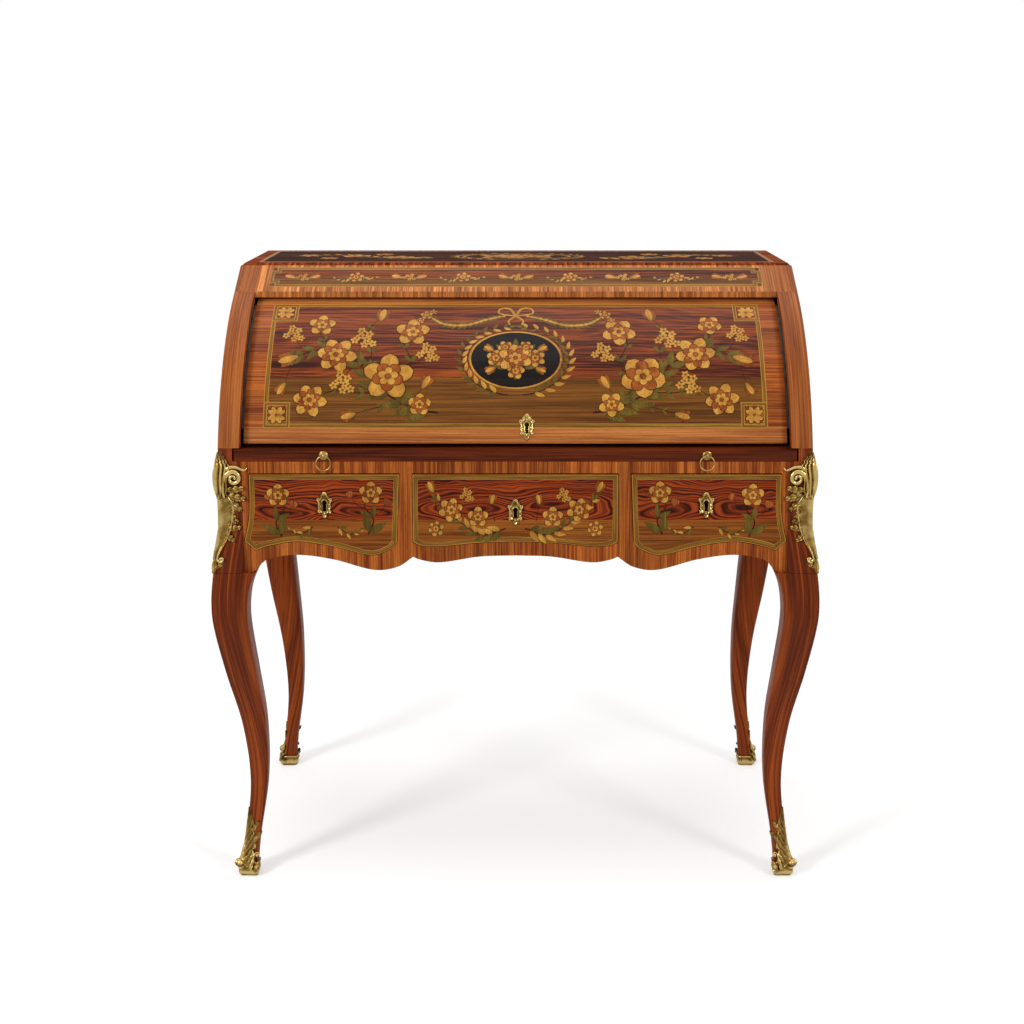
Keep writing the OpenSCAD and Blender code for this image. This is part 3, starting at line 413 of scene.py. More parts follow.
figure = dict(eyeHeight=0.655, eyeReach=0.062, floorLevel=0.637, squeeze=0.24, flame=0.30, flameScale=240.0)


def figured(middle):
    # Kingwood whose fine lines run in flat ovals round two eyes, matched like a book about the middle:
    # the lines follow the square root of (distance from the eye across, shrunk)^2 + (height from it)^2.
    # Below a level lies a plain floor of olive brown wood.
    def mix(o, uv):
        s = split(o)
        away = absolute(minus(s[0], middle))
        wave = noise(stretch(o, 9.0, 1.0, 22.0), 1.0, 2.0)
        du = times(minus(away, figure["eyeReach"]), figure["squeeze"])
        dz = plus(minus(s[2], figure["eyeHeight"]), fit(wave, 0.05, -0.025))
        oval = maths("SQRT", plus(times(du, du), times(dz, dz)))
        c, h = grain(combine(times(away, 0.6), oval, s[1]), "kingwood", streak=520.0, flame=figure["flame"],
                     flameScale=figure["flameScale"], contrast=1.6)
        f = grain(axes(o, "xzy"), "drawerFloor", streak=520.0, contrast=1.2)[0]
        return mixColour(under(s[2], figure["floorLevel"]), c, f), h
    return mix


def shellMix(o, uv):
    # The cylinder: light rails below and above, side borders of short leaves, a floor band, the dark ground.
    s = split(uv)
    ground, h = grain(uv, "cylinderGround", streak=560.0, flame=0.10, flameScale=110.0, contrast=1.7)
    rail = grain(uv, "bandTulip", contrast=0.8)[0]
    c = mixColour(under(s[1], 0.113), ground, grain(uv, "floorWood", contrast=1.1)[0])
    border = grain(uv, "tulipwood", leaf=0.043, tone=0.36, contrast=0.9)[0]
    c = mixColour(under(0.418, absolute(s[0])), c, border)
    c = mixColour(under(0.2745, s[1]), c, rail)
    return mixColour(under(s[1], 0.028), c, rail), h


def giltShader(name, crestFromUv):
    # Gilt bronze whose crests are where UV's second number is high, or the same all over.
    m, bsdf, at = newMaterial(name)
    use = addNode(m.node_tree, "Group", {"Vector": at["Object"]}, node_tree=gilding)
    if crestFromUv:
        feed(use, {"Crest": split(at["UV"])[1]})
    out = use.outputs
    feed(bsdf, {"Base Color": out["Color"], "Roughness": out["Roughness"], "Metallic": 1.0,
                "Normal": bumped(out["Height"], 0.5, 0.0003)})
    return m


def makeIron():
    m, bsdf, at = newMaterial("darkIron")
    cloud = noise(at["Object"], 60.0, 6.0)
    feed(bsdf, {"Base Color": ramp(cloud, (0.3, (44, 41, 39)), (0.6, (82, 76, 70)), (0.8, (98, 66, 46))),
                "Roughness": fit(cloud, 0.5, 0.25), "Metallic": 0.9, "Normal": bumped(cloud, 0.4, 0.0004)})
    return m


def makeLeather():
    # Smooth dark leather: small cells for its pebble, and cloudy wear in its colour and shine.
    m, bsdf, at = newMaterial("deskLeather")
    cells = addNode(m.node_tree, "TexVoronoi", {"Vector": at["Object"], "Scale": 900.0}).outputs[0]
    cloud = noise(at["Object"], 12.0, 6.0)
    feed(bsdf, {"Base Color": ramp(cloud, (0.3, (58, 25, 10)), (0.7, (96, 46, 18))),
                "Roughness": fit(cloud, 0.3, 0.36), "Specular IOR Level": 0.2,
                "Normal": bumped(cells, 0.5, 0.0003)})
    return m


cylinderWood = woodShader("cylinderWood", shellMix, "cylinder")
giltRelief, giltPlain = giltShader("giltRelief", True), giltShader("giltPlain", False)
nodeFinish = (  # each finish with the starts of its nodes' names; all others are oak
    (uprightTulip, "apron drawer_rail drawer_dividers back_panel"), (uprightTulipSide, "side_ quadrant"),
    (levelTulip, "top_board slide_board"), (narrowTulip, "frieze_rail"), (darkLip, "slide_lip"),
    (legTulip, "leg_"),
    (oakAlongY, "slide_guides drawer_runners drawer_left_box drawer_middle_box drawer_right_box"),
    (woodShader("drawerLeftWood", figured(-desk["drawerX"])), "drawer_left"),
    (woodShader("drawerMiddleWood", figured(0.0)), "drawer_middle"),
    (woodShader("drawerRightWood", figured(desk["drawerX"])), "drawer_right"),
    (makeLeather(), "slide_leather"), (makeIron(), "cylinder_arms pivot_pins lock_ bolt_"),
    (giltPlain, "sabot mount pull escutcheon small_knob"))
for name, obj in nodes.items():
    obj.data.materials.clear()
    finishes = (m for m, starts in nodeFinish if name.startswith(tuple(starts.split())))
    obj.data.materials.append(next(finishes, oakAlongX))
print("materials on the part's own nodes:", len(nodes))

# Panels: flat or curved faces that take bands and inlay, each with a way to place (across, up, lift)

def onFront(p, lift):
    # The flat upright front: across is X, up is Z.
    return spot(p[..., 0], -desk["halfDepth"] - lift, p[..., 1])


def cylinderPoint(x, r, a):
    # Points at a radius from the cylinder's axis, at an angle up from straight forwards.
    return spot(x, desk["axisY"] - r * np.cos(a), desk["axisZ"] + r * np.sin(a))


def onCylinder(p, lift):
    # The cylinder's outer face: across is X, up is the length of arc from its lower edge.
    r = desk["shellRadius"]
    return cylinderPoint(p[..., 0], r + lift, np.radians(desk["shellLow"]) + p[..., 1] / r)


def onFrieze(p, lift):
    # The sloping frieze: across is X, up is the length along the slope from its lower edge.
    k = desk["slope"]
    n = np.hypot(1, k)
    up = p[..., 1]
    return spot(p[..., 0], desk["friezeY"] + (up - lift * k) / n, desk["friezeZ"] + (up * k + lift) / n)


def onTop(p, lift):
    # The top face: across is X, up is Y, and a third of the lift is counted from just under the top's height.
    return spot(p[..., 0], p[..., 1], desk["top"] - desk["topSink"] + lift / 3)


def onSide(sign):
    # An upright side face: across is Y, up is Z.
    def place(p, lift):
        return spot(sign * (desk["halfWidth"] + lift), p[..., 0], p[..., 1])
    return place


def onBack(p, lift):
    # The upright back: across is X from right to left, up is Z.
    return spot(-p[..., 0], desk["halfDepth"] + lift, p[..., 1])


def onSlide(p, lift):
    # The leather on the writing slide: across is X, up is Y.
    return spot(p[..., 0], p[..., 1], desk["leatherZ"] + lift)


def straight(a, b, step=0.008):
    n = max(2, int(np.ceil(np.hypot(b[0] - a[0], b[1] - a[1]) / step)) + 1)
    return np.linspace(a, b, n)


def polygonEdges(corners):
    return [straight(a, b) for a, b in zip(corners, corners[1:] + corners[:1])]


def rectangle(x0, y0, x1, y1):
    return polygonEdges([(x0, y0), (x1, y0), (x1, y1), (x0, y1)])


def mirrored(edges):
    # The same outline on the other side of the middle, still running counter-clockwise.
    return [e[::-1] * [-1, 1] for e in edges[::-1]]


def normals(path):
    # The path's directions turned a quarter to the left.
    t = unit(np.gradient(path, axis=0))
    return np.stack([-t[:, 1], t[:, 0]], 1)


def insetEdges(edges, d):
    # Moves every edge inwards by d along its normal; near a corner the points also slide along the edge
    # to the mitre, evenly on a straight edge, and on a curved one by an amount that dies away as the fourth
    # power of the distance from the corner.
    sideways = [normals(e) for e in edges]
    out = []
    for k, (e, n) in enumerate(zip(edges, sideways)):
        before, after = sideways[k - 1][-1], sideways[(k + 1) % len(edges)][0]
        start = (before + n[0]) / (1 + before @ n[0]) - n[0]
        end = (n[-1] + after) / (1 + n[-1] @ after) - n[-1]
        s = np.linspace(0, 1, len(e))[:, None]
        power = 1 if np.ptp(n[:, 0]) + np.ptp(n[:, 1]) < 1e-6 else 4
        out.append(e + d * (n + (1 - s)**power * start + s**power * end))
    return out


def band(edges, d0, d1, place, lift, mat=0):
    # A flat ribbon between two insets of an outline, one strip per edge so that its corners are mitred.
    shells = []
    for a, b in zip(insetEdges(edges, d0), insetEdges(edges, d1)):
        run = np.concatenate([[0], np.cumsum(np.linalg.norm(np.diff(a, axis=0), axis=1))])
        uv = np.stack(np.broadcast_arrays(run[:, None], [d0, d1]), -1)
        shells.append(shell(place(np.stack([a, b], 1), lift), uv, mat=mat))
    return shells


def framing(edges, place, lift, width, line=0.0006, start=0.0):
    # The desk's usual border: an olive band between two light lines.
    near, far = start + line, start + line + width
    return (band(edges, start, near, place, lift, 1) + band(edges, near, far, place, lift, 0)
            + band(edges, far, far + line, place, lift, 1))


# Inlay: leaves, petals and stems cut from flat veneer. What lies over something else is lifted by layers.

layer = 0.00002


def turned(x, y, w):
    # A grid of points turned by an angle.
    c, s = np.cos(w), np.sin(w)
    return np.stack([c * x - s * y, s * x + c * y], -1)


def cutShapes(outline, at, heading, length, width, place, lift, mat=0, bend=0.0):
    # Many copies of one pointed shape. Along it, t runs from stalk to tip; its half width is given by the
    # outline, and it bends sideways by the square of t. UV is (across, along) for the burnt shading.
    t, side = np.linspace(0, 1, 9)[:, None], np.linspace(-1, 1, 5)
    each = np.broadcast_arrays(np.atleast_1d(heading), length, width, bend)
    heading, length, width, bend = (v[:, None, None] for v in each)
    x, y = t * length + 0 * side, outline(t) * side * width + bend * t**2
    p = np.atleast_2d(at)[:, None, None] + turned(x, y, heading)
    uv = np.stack(np.broadcast_arrays((side + 1) / 2, t), -1)
    return [shell(place(q, lift + 0.35 * layer * k), uv, mat=mat, flip=True) for k, q in enumerate(p)]


def leafOutline(t):
    return np.sin(np.pi * t**0.75)**0.9 * 0.5


def petalOutline(t):
    return np.sqrt(np.clip(np.sin(np.pi * (0.08 + 0.92 * t)**1.35), 0, 1)) * 0.5


def petals(at, heading, size, rim, place, lift, mat, step=2):
    # Petals of one size over burnt ones of another that show as their rims, each size a length and a width.
    return (cutShapes(petalOutline, at, heading, *rim, place, lift, burntV)
            + cutShapes(petalOutline, at, heading, *size, place, lift + step * layer, mat))


def stem(path, place, lift, width, mat=burntV):
    # A ribbon along a path that narrows towards its tip.
    path, run = np.asarray(path, float), np.linspace(0, 1, len(path))[:, None]
    n = normals(path) * width * (1 - 0.55 * run) / 2
    uv = np.stack(np.broadcast_arrays([0.0, 1.0], run), -1)
    return [shell(place(np.stack([path + n, path - n], 1), lift), uv, mat=mat)]


def disc(centre, radius, place, lift, mat, rings=3):
    # A round of veneer: rings of points shrinking to its middle.
    r = np.linspace(1, 0.02, rings)[:, None]
    p = np.array(centre) + radius * r[..., None] * onCircle(steps(20))
    uv = np.stack(np.broadcast_arrays(np.full(20, 0.5), 1 - r), -1)
    return [shell(place(p, lift), uv, closed=True, mat=mat)]


def blossom(centre, size, place, lift, count=5, turn=0.3):
    # A rose seen from the front: broad petals with burnt rims, two more rings of smaller ones, each turned
    # by half a step, and a heart. Each petal's own length varies a little with its angle.
    shells = []
    rings = ((0.50, 0.40, boxV), (0.33, 0.27, tulipV), (0.19, 0.17, boxV))
    for ring, (reach, wide, wood) in enumerate(rings):
        w = turn + (np.arange(count) + 0.5 * ring) * 2 * np.pi / count
        length = size * reach * (1 + 0.07 * np.sin(5 * w + 700 * size))
        width = size * wide * 5.4 / (count + 0.6)
        at = np.array(centre) + 0.02 * size * onCircle(w)
        rim = (length * 1.03 + 0.0003, width * 1.05 + 0.0004)
        shells += petals(at, w, (length, width), rim, place, lift + 5 * layer * ring, wood)
    return shells + disc(centre, 0.075 * size, place, lift + 18 * layer, tulipV)


def along(path, k):
    # A path's points at places between its own running numbers.
    return np.stack([np.interp(k, np.arange(len(path)), path[:, j]) for j in (0, 1)], 1)


def branch(path, place, lift, leafSize, count, mats=(greenV, boxV), taper=0.45):
    # A stem with leaves in pairs, set at 45 degrees to it and smaller towards the tip, and one at its end.
    k = np.linspace(0.08, 0.97, count) * (len(path) - 1)
    at, t = along(path, k), along(np.gradient(path, axis=0), k)
    heading, size = np.arctan2(t[:, 1], t[:, 0]), leafSize * np.linspace(1, taper, count)
    up = lift + 2 * layer
    shells = stem(path, place, lift, 0.075 * leafSize + 0.0006)
    for side, mat in ((1, mats[0]), (-1, mats[1])):
        shells += cutShapes(leafOutline, at, heading + side * 0.78, size, 0.42 * size, place, up, mat,
                            -side * 0.16 * size)
    tip = size[-1]
    return shells + cutShapes(leafOutline, path[-1:], heading[-1:], tip, 0.42 * tip, place, up, mats[0])


# Legs follow the part's own stations: for each height, how far they stand out and how wide they are.

leg = dict(line=[(0.004, -0.020), (0.0594, -0.023), (0.165, -0.032), (0.269, -0.023), (0.373, -0.001),
                 (0.4577, 0.014), (0.500, 0.016), (0.548, 0.012), (0.625, 0.0)],
           width=[(0.004, 0.021), (0.099, 0.025), (0.165, 0.029), (0.2482, 0.037), (0.373, 0.051),
                  (0.500, 0.060), (0.5264, 0.0635), (0.548, 0.070)], widest=0.01605, post=0.038,
           postSide=0.023)
corners = [("front_left", -1, -1), ("front_right", 1, -1), ("rear_left", -1, 1), ("rear_right", 1, 1)]


def legOut(z):
    # How far the leg's outer faces stand past the case's corner at a height.
    out = np.minimum(smoothThrough(leg["line"], np.minimum(z, desk["flareTop"])), leg["widest"])
    return np.where(z < desk["flareTop"], out, 0.0)


def squareRing(lo, hi, radii, per=6):
    # A square from lo to hi in both directions with its own radius at each corner, counter-clockwise
    # from the outer corner, as rows of points for whole columns of sizes at once.
    lo, hi = np.broadcast_arrays(np.atleast_1d(lo), np.atleast_1d(hi))
    w = np.radians(np.linspace(0, 90, per))
    rings = []
    for k, signs in enumerate(((1, 1), (-1, 1), (-1, -1), (1, -1))):
        r = np.broadcast_to(radii[k], lo.shape)[:, None, None]
        middle = np.where(np.array(signs) > 0, hi[:, None], lo[:, None])[:, None] - np.array(signs) * r
        rings.append(middle + r * onCircle(w + k * np.pi / 2))
    p = np.concatenate(rings, 1)
    gaps = np.arange(per - 1, 4 * per, per)
    return np.insert(p, gaps + 1, ((p + np.roll(p, -1, axis=1)) / 2)[:, gaps], axis=1)


def cornerPlace(sx, sy, xy, z):
    return np.stack([sx * (desk["halfWidth"] + xy[..., 0]), sy * (desk["halfDepth"] + xy[..., 1]), z], -1)


def loftShells(sx, sy, lo, hi, z, radii):
    # A closed loft: its wall, with UV as girth and height, and a lid at each end.
    ring = squareRing(lo, hi, radii)
    gaps = np.linalg.norm(np.diff(ring, axis=1), axis=2)
    girth = np.concatenate([0 * gaps[:, :1], np.cumsum(gaps, 1)], 1)
    zz = np.broadcast_to(z[:, None], ring.shape[:2])
    p, girth, zz = (np.concatenate([a, a[:, :1]], 1) for a in (cornerPlace(sx, sy, ring, zz), girth, zz))
    girth[:, -1] = 4 * (np.broadcast_to(hi, len(z)) - np.broadcast_to(lo, len(z)))
    return [shell(p, np.stack([girth, zz], -1)), lid(p[0, :-1]), lid(p[-1, :-1])]


def makeLeg(label, sx, sy):
    # The leg proper ends at the joint line, where its edge is eased; the post above it runs up the case.
    z = np.concatenate([np.linspace(0.004, 0.547, 110), [0.5477, desk["joint"]]])
    hi, w = np.minimum(smoothThrough(leg["line"], z), leg["widest"]), smoothThrough(leg["width"], z)
    ease = np.clip((z - 0.547) / 0.001, 0, 1) * 0.0007
    shells = loftShells(sx, sy, hi - w + ease, hi - ease, z, (0.003 + 0 * w, 0.14 * w, 0.26 * w, 0.14 * w))
    top = desk["dustTop"] if sy < 0 else desk["lowerTop"]
    z = np.concatenate([[desk["joint"], 0.549], np.linspace(0.552, 0.625, 24), [0.66, 0.70, top]])
    ease = np.clip((0.549 - z) / 0.001, 0, 1) * 0.0006
    r = np.interp(z, [0.548, 0.575], [0.006, 0.0006])
    outer = np.interp(z, [0.548, 0.625], [0.003, 0.0015])
    shells += loftShells(sx, sy, -leg["post"] + ease, legOut(z) - ease, z, (outer, r, r, r))
    if sy < 0:  # beside the writing slide the front posts are narrower
        a, b = -leg["postSide"], -leg["post"]
        box = np.array([[a, b], [0, b], [0, 0], [a, 0], [a, b]])
        z = np.array([desk["dustTop"], desk["lowerTop"]])[:, None] + np.zeros(5)
        p = cornerPlace(sx, sy, np.broadcast_to(box, (2, 5, 2)), z)
        girth = np.broadcast_to([0.0, 0.023, 0.061, 0.084, 0.122], (2, 5))
        shells += [shell(p, np.stack([girth, z], -1)), lid(p[1, :4])]
    outwards(piece("legVeneer" + label, shells, legTulip, "case", ("leg_" + label,), 30))


for label, sx, sy in corners:
    makeLeg(label, sx, sy)
print("legs: 4")

# Gilt bronze: reliefs laid round the corner's arris, with scrolls and leaves over them.

def arrisPlace(sx, sy):
    # Across runs from the front face (negative) round the arris to the side face (positive), in metres;
    # the lift turns from one face's normal to the other's within 6 mm of the arris.
    def place(p, lift):
        a, z = p[..., 0], p[..., 1]
        out = legOut(z)
        k = np.clip(a / 0.006 * 0.5 + 0.5, 0, 1)
        turn = (3 * k**2 - 2 * k**3) * np.pi / 2
        x = out - np.clip(-a, 0, None) + lift * np.sin(turn)
        y = out - np.clip(a, 0, None) + lift * np.cos(turn)
        return cornerPlace(sx, sy, np.stack([x, y], -1), z)
    return place


def facePlace(place, side):
    # One face of a corner, the front (-1) or the side (1): across is the distance in from the arris.
    def onFace(p, lift):
        return place(p * [side, 1], lift)
    return onFace


def bulged(place):
    # Adds to the lift near the arris, so that a relief keeps its full depth as seen from the front.
    def onBulge(p, lift):
        return place(p, lift * (1 + 0.12 * np.exp(-(p[..., 0] / 0.007)**2)))
    return onBulge


sunk = 0.0005  # how far a relief's edge lies under the surface


def reliefShell(place, z, width, height, cols, bright=0.0):
    # A relief whose half width changes with height; its lift is height(a, v), with a from 0 in the middle to
    # 1 at the edge and v from 0 to 1 along. UV's second number is the crest, which starts from bright in
    # the hollows.
    s, v = np.linspace(-1, 1, cols), np.linspace(0, 1, len(z))[:, None]
    a = np.abs(s)
    h = height(a, v) * np.clip((1 - a) * 9, 0, 1)**0.5
    p = np.stack(np.broadcast_arrays(s * width[:, None], z[:, None]), -1)
    uv = np.stack([s + 0 * v, bright + (1 - bright) * h / h.max()], -1)
    return shell(place(p, h - sunk), uv)


def turnedLeaf(place, root, heading, length, width, thick, lobes, bend, base, rows, cols):
    # An acanthus leaf in a face's plane, from its root along a heading in degrees and bent sideways by the
    # square of v, the way along. It is round-shouldered and cut into lobes that point to the tip, with a
    # raised midrib, a rib out to each lobe and a rolled tip, on a base that dies away towards its tip.
    v, s = np.linspace(0, 1, rows)[:, None], np.linspace(-1, 1, cols)
    a = np.abs(s)
    saw = np.clip((v * lobes) % 1.0 - 0.45, 0, 1)**1.2 / 0.49 * (v < 0.93)
    half = width * np.clip(np.sin(np.pi * (0.16 + 0.84 * v)**1.15)**0.75, 0.02, 1) * (1 - 0.34 * saw)
    rib = (0.5 + 0.5 * np.cos(2 * np.pi * (lobes * v - 0.85 * a - 0.05))) * (0.35 + 0.65 * a)
    h = thick * (0.34 + 0.30 * rib + 0.36 * np.exp(-(a / 0.13)**2) + 1.1 * np.clip(v - 0.8, 0, 1))
    h = h * np.clip((1 - a) * 7, 0, 1)**0.5
    p = np.array(root) + turned(length * v + 0 * s, s * half + bend * v**2, np.radians(heading))
    return shell(place(p, h - sunk + base * (1 - v)), np.stack([s + 0 * v, h / h.max()], -1))


def spiral(centre, radius, start, turns, hand, n, shrink=0.16):
    # A volute in a face's own plane, winding inwards.
    k = np.linspace(0, 1, n)
    w = np.radians(start) + hand * 2 * np.pi * turns * k
    return np.array(centre) + (radius * (1 - (1 - shrink) * k**0.85))[:, None] * onCircle(w)


def scrollBar(place, path, radius, lift, sides=8):
    # A round bar along a path in a face's plane: about each point, lifted to the bar's middle, a ring of the
    # given radius at right angles to the path. UV's second number is the crest, highest on the outer side.
    path, lift = np.asarray(path, float), np.broadcast_to(lift, len(path))
    middle = place(path, lift)
    t = unit(np.gradient(middle, axis=0))
    a = unit(np.cross(t, unit(place(path, lift + 0.001) - middle)))
    b = np.cross(a, t)
    w = steps(sides)
    around = np.cos(w)[:, None] * a[:, None] + np.sin(w)[:, None] * b[:, None]
    ring = middle[:, None] + np.broadcast_to(radius, len(path))[:, None, None] * around
    p = np.concatenate([middle[:1, None] + 0 * ring[:1], ring, middle[-1:, None] + 0 * ring[-1:]])
    crest = np.tile(0.5 + 0.5 * np.sin(w), (len(p), 1))
    return shell(p, np.stack([0 * crest, crest], -1), closed=True)


def boss(place, centre, radius, lift):
    # A little dome, as in the eye of a volute or a berry.
    a, w = np.linspace(0, np.pi / 2, 7)[:, None], steps(16)
    p = np.array(centre) + radius * np.sin(a)[..., None] * onCircle(w)
    up = np.cos(a) + 0 * w
    return shell(place(p, lift + radius * up), np.stack([0 * up, up], -1), closed=True)


# Stations are (height, size); leaves are (across, height, length, heading, half width, bend).
mount = dict(fan=(0.6705, 0.752), shaft=(0.5485, 0.681), fanBright=0.25, shaftBright=0.45,
             fanWidth=[(0.670, 0.004), (0.680, 0.0125), (0.692, 0.0155), (0.702, 0.0155), (0.713, 0.0172),
                       (0.722, 0.0202), (0.730, 0.0206), (0.738, 0.0165), (0.746, 0.0100), (0.752, 0.0012)],
             fanDepth=[(0.670, 0.0030), (0.680, 0.0060), (0.690, 0.0090), (0.705, 0.0108), (0.718, 0.0104),
                       (0.730, 0.0082), (0.742, 0.0050), (0.752, 0.0020)],
             shaftWidth=[(0.548, 0.0020), (0.553, 0.0056), (0.560, 0.0062), (0.568, 0.0046), (0.580, 0.0074),
                         (0.592, 0.0122), (0.604, 0.0172), (0.615, 0.0198), (0.630, 0.0226), (0.645, 0.0258),
                         (0.658, 0.0268), (0.671, 0.0226), (0.682, 0.0140)],
             shaftDepth=[(0.548, 0.0018), (0.554, 0.0038), (0.560, 0.0042), (0.569, 0.0034), (0.580, 0.0040),
                         (0.600, 0.0044), (0.625, 0.0044), (0.650, 0.0040), (0.670, 0.0044), (0.682, 0.0050)],
             scroll=(0.0246, 0.7078),
             lead=[(0.0085, 0.676), (0.0070, 0.688), (0.0078, 0.700), (0.0108, 0.7135)],
             arm=[(0.0105, 0.7215), (0.0185, 0.7265), (0.030, 0.7262), (0.0395, 0.7222), (0.0440, 0.7218),
                  (0.0478, 0.7255)], foot=[(0.0085, 0.594), (0.0055, 0.584), (0.0042, 0.5735)],
             leaves=[(0.0140, 0.6890, 0.0290, -4, 0.0076, 0.005),
                     (0.0165, 0.6800, 0.0300, -24, 0.0082, 0.005),
                     (0.0175, 0.6700, 0.0270, -48, 0.0072, 0.004),
                     (0.0180, 0.6590, 0.0220, -74, 0.0050, 0.003), (0.0110, 0.6770, 0.0140, 200, 0.0036, 0.0),
                     (0.0150, 0.6300, 0.0190, 34, 0.0058, -0.004),
                     (0.0145, 0.6240, 0.0220, -8, 0.0064, 0.004),
                     (0.0130, 0.6140, 0.0200, -44, 0.0056, 0.002)],
             lowLeaves=[(0.0030, 0.5580, 0.0170, 28, 0.0048, 0.004),
                        (0.0020, 0.5760, 0.0150, 66, 0.0040, 0.002)])


def makeMount(label, sx, sy):
    # Flutes that fan out from the waist to a notched crest, a hollow shaft below with a rim and a midrib, and
    # on both faces a C-scroll round a smaller one, a bar over it, foliage, two low leaves and a small scroll.
    corner = arrisPlace(sx, sy)
    arris = bulged(corner)
    z = np.linspace(*mount["fan"], 76)
    notch = np.clip((z - 0.731) / 0.004, 0, 1) * (0.5 + 0.5 * np.cos(2 * np.pi * (z - 0.7335) / 0.0085))
    depth = smoothThrough(mount["fanDepth"], z)[:, None]

    def fan(a, v):
        flutes = np.abs(np.cos(np.pi * 3.5 * a))**0.8
        return depth * (0.36 + 0.56 * flutes + 0.12 * np.exp(-(a / 0.10)**2)) * (1 - 0.25 * a**2)
    width = smoothThrough(mount["fanWidth"], z) * (1 - 0.20 * notch)
    shells = [reliefShell(arris, z, width, fan, 57, mount["fanBright"])]
    z = np.linspace(*mount["shaft"], 100)
    shaftDepth = smoothThrough(mount["shaftDepth"], z)[:, None]

    def shaft(a, v):
        return shaftDepth * (0.22 + 0.72 * np.exp(-(a / 0.16)**2) + 0.95 * np.exp(-((a - 0.84) / 0.10)**2))
    width = smoothThrough(mount["shaftWidth"], z)
    shells.append(reliefShell(arris, z, width, shaft, 49, mount["shaftBright"]))
    for side in (-1, 1):
        face = facePlace(corner, side)
        coil = spiral(mount["scroll"], 0.0136, 160, 1.42, -1, 60, 0.20)
        path = np.concatenate([sweep(mount["lead"], 18), coil[1:]])
        thick = np.concatenate([np.linspace(0.0020, 0.0041, 18), np.linspace(0.0042, 0.0020, 59)])
        shells += [scrollBar(face, path, thick, 0.0034, 12), boss(face, coil[-1], 0.0034, 0.0020)]
        path = spiral(mount["scroll"], 0.0098, 168, 0.92, -1, 40, 0.52)
        shells.append(scrollBar(face, path, np.linspace(0.0014, 0.0008, 40), 0.0030))
        shells.append(scrollBar(face, sweep(mount["arm"], 34), np.linspace(0.0036, 0.0009, 34), 0.0028, 10))
        for leaves, depth, base in ((mount["leaves"], 0.0062, 0.0016), (mount["lowLeaves"], 0.0034, 0.0004)):
            for x, up, length, heading, half, bend in leaves:
                shells.append(turnedLeaf(face, (x, up), heading, length, half, depth, 3, bend, base, 30, 13))
        coil = spiral((0.0105, 0.5722), 0.0056, 180, 1.15, 1, 30)
        path = np.concatenate([sweep(mount["foot"], 12), coil[1:]])
        shells += [scrollBar(face, path, 0.0018, 0.0028), boss(face, coil[-1], 0.0022, 0.0016)]
    piece("mountRelief" + label, shells, giltRelief, "case", ("mount_" + label,), 60)


sabot = dict(height=0.050, low=0.020, swell=0.010, wall=0.0025, leaf=(0.014, 0.119), roll=0.0066,
             toe=(0.025, 0.0085, 0.0062), coil=(0.0200, 0.0360),
             line=[(0, 0.62), (0.16, 0.92), (0.42, 1), (0.76, 0.62), (1, 0.34)],
             leafWidth=[(0.014, 0.0150), (0.024, 0.0190), (0.040, 0.0200), (0.062, 0.0190), (0.082, 0.0160),
                        (0.096, 0.0110), (0.108, 0.0066), (0.119, 0.0008)],
             leaves=[(0.0120, 0.0560, 62, 0.026, 0.0052, -0.003), (0.0190, 0.0080, 78, 0.020, 0.0050, -0.002),
                     (0.0100, 0.0760, 70, 0.022, 0.0042, -0.003),
                     (0.0100, 0.0120, 118, 0.022, 0.0048, 0.003)])


def rimHeight(f):
    # The shoe's rim falls from the arris (f = 0) to the face's inner edge (f = 0.5) and stays low behind.
    k = np.clip(2 * f, 0, 1)
    return sabot["height"] + (sabot["low"] - sabot["height"]) * k * k * (3 - 2 * k)


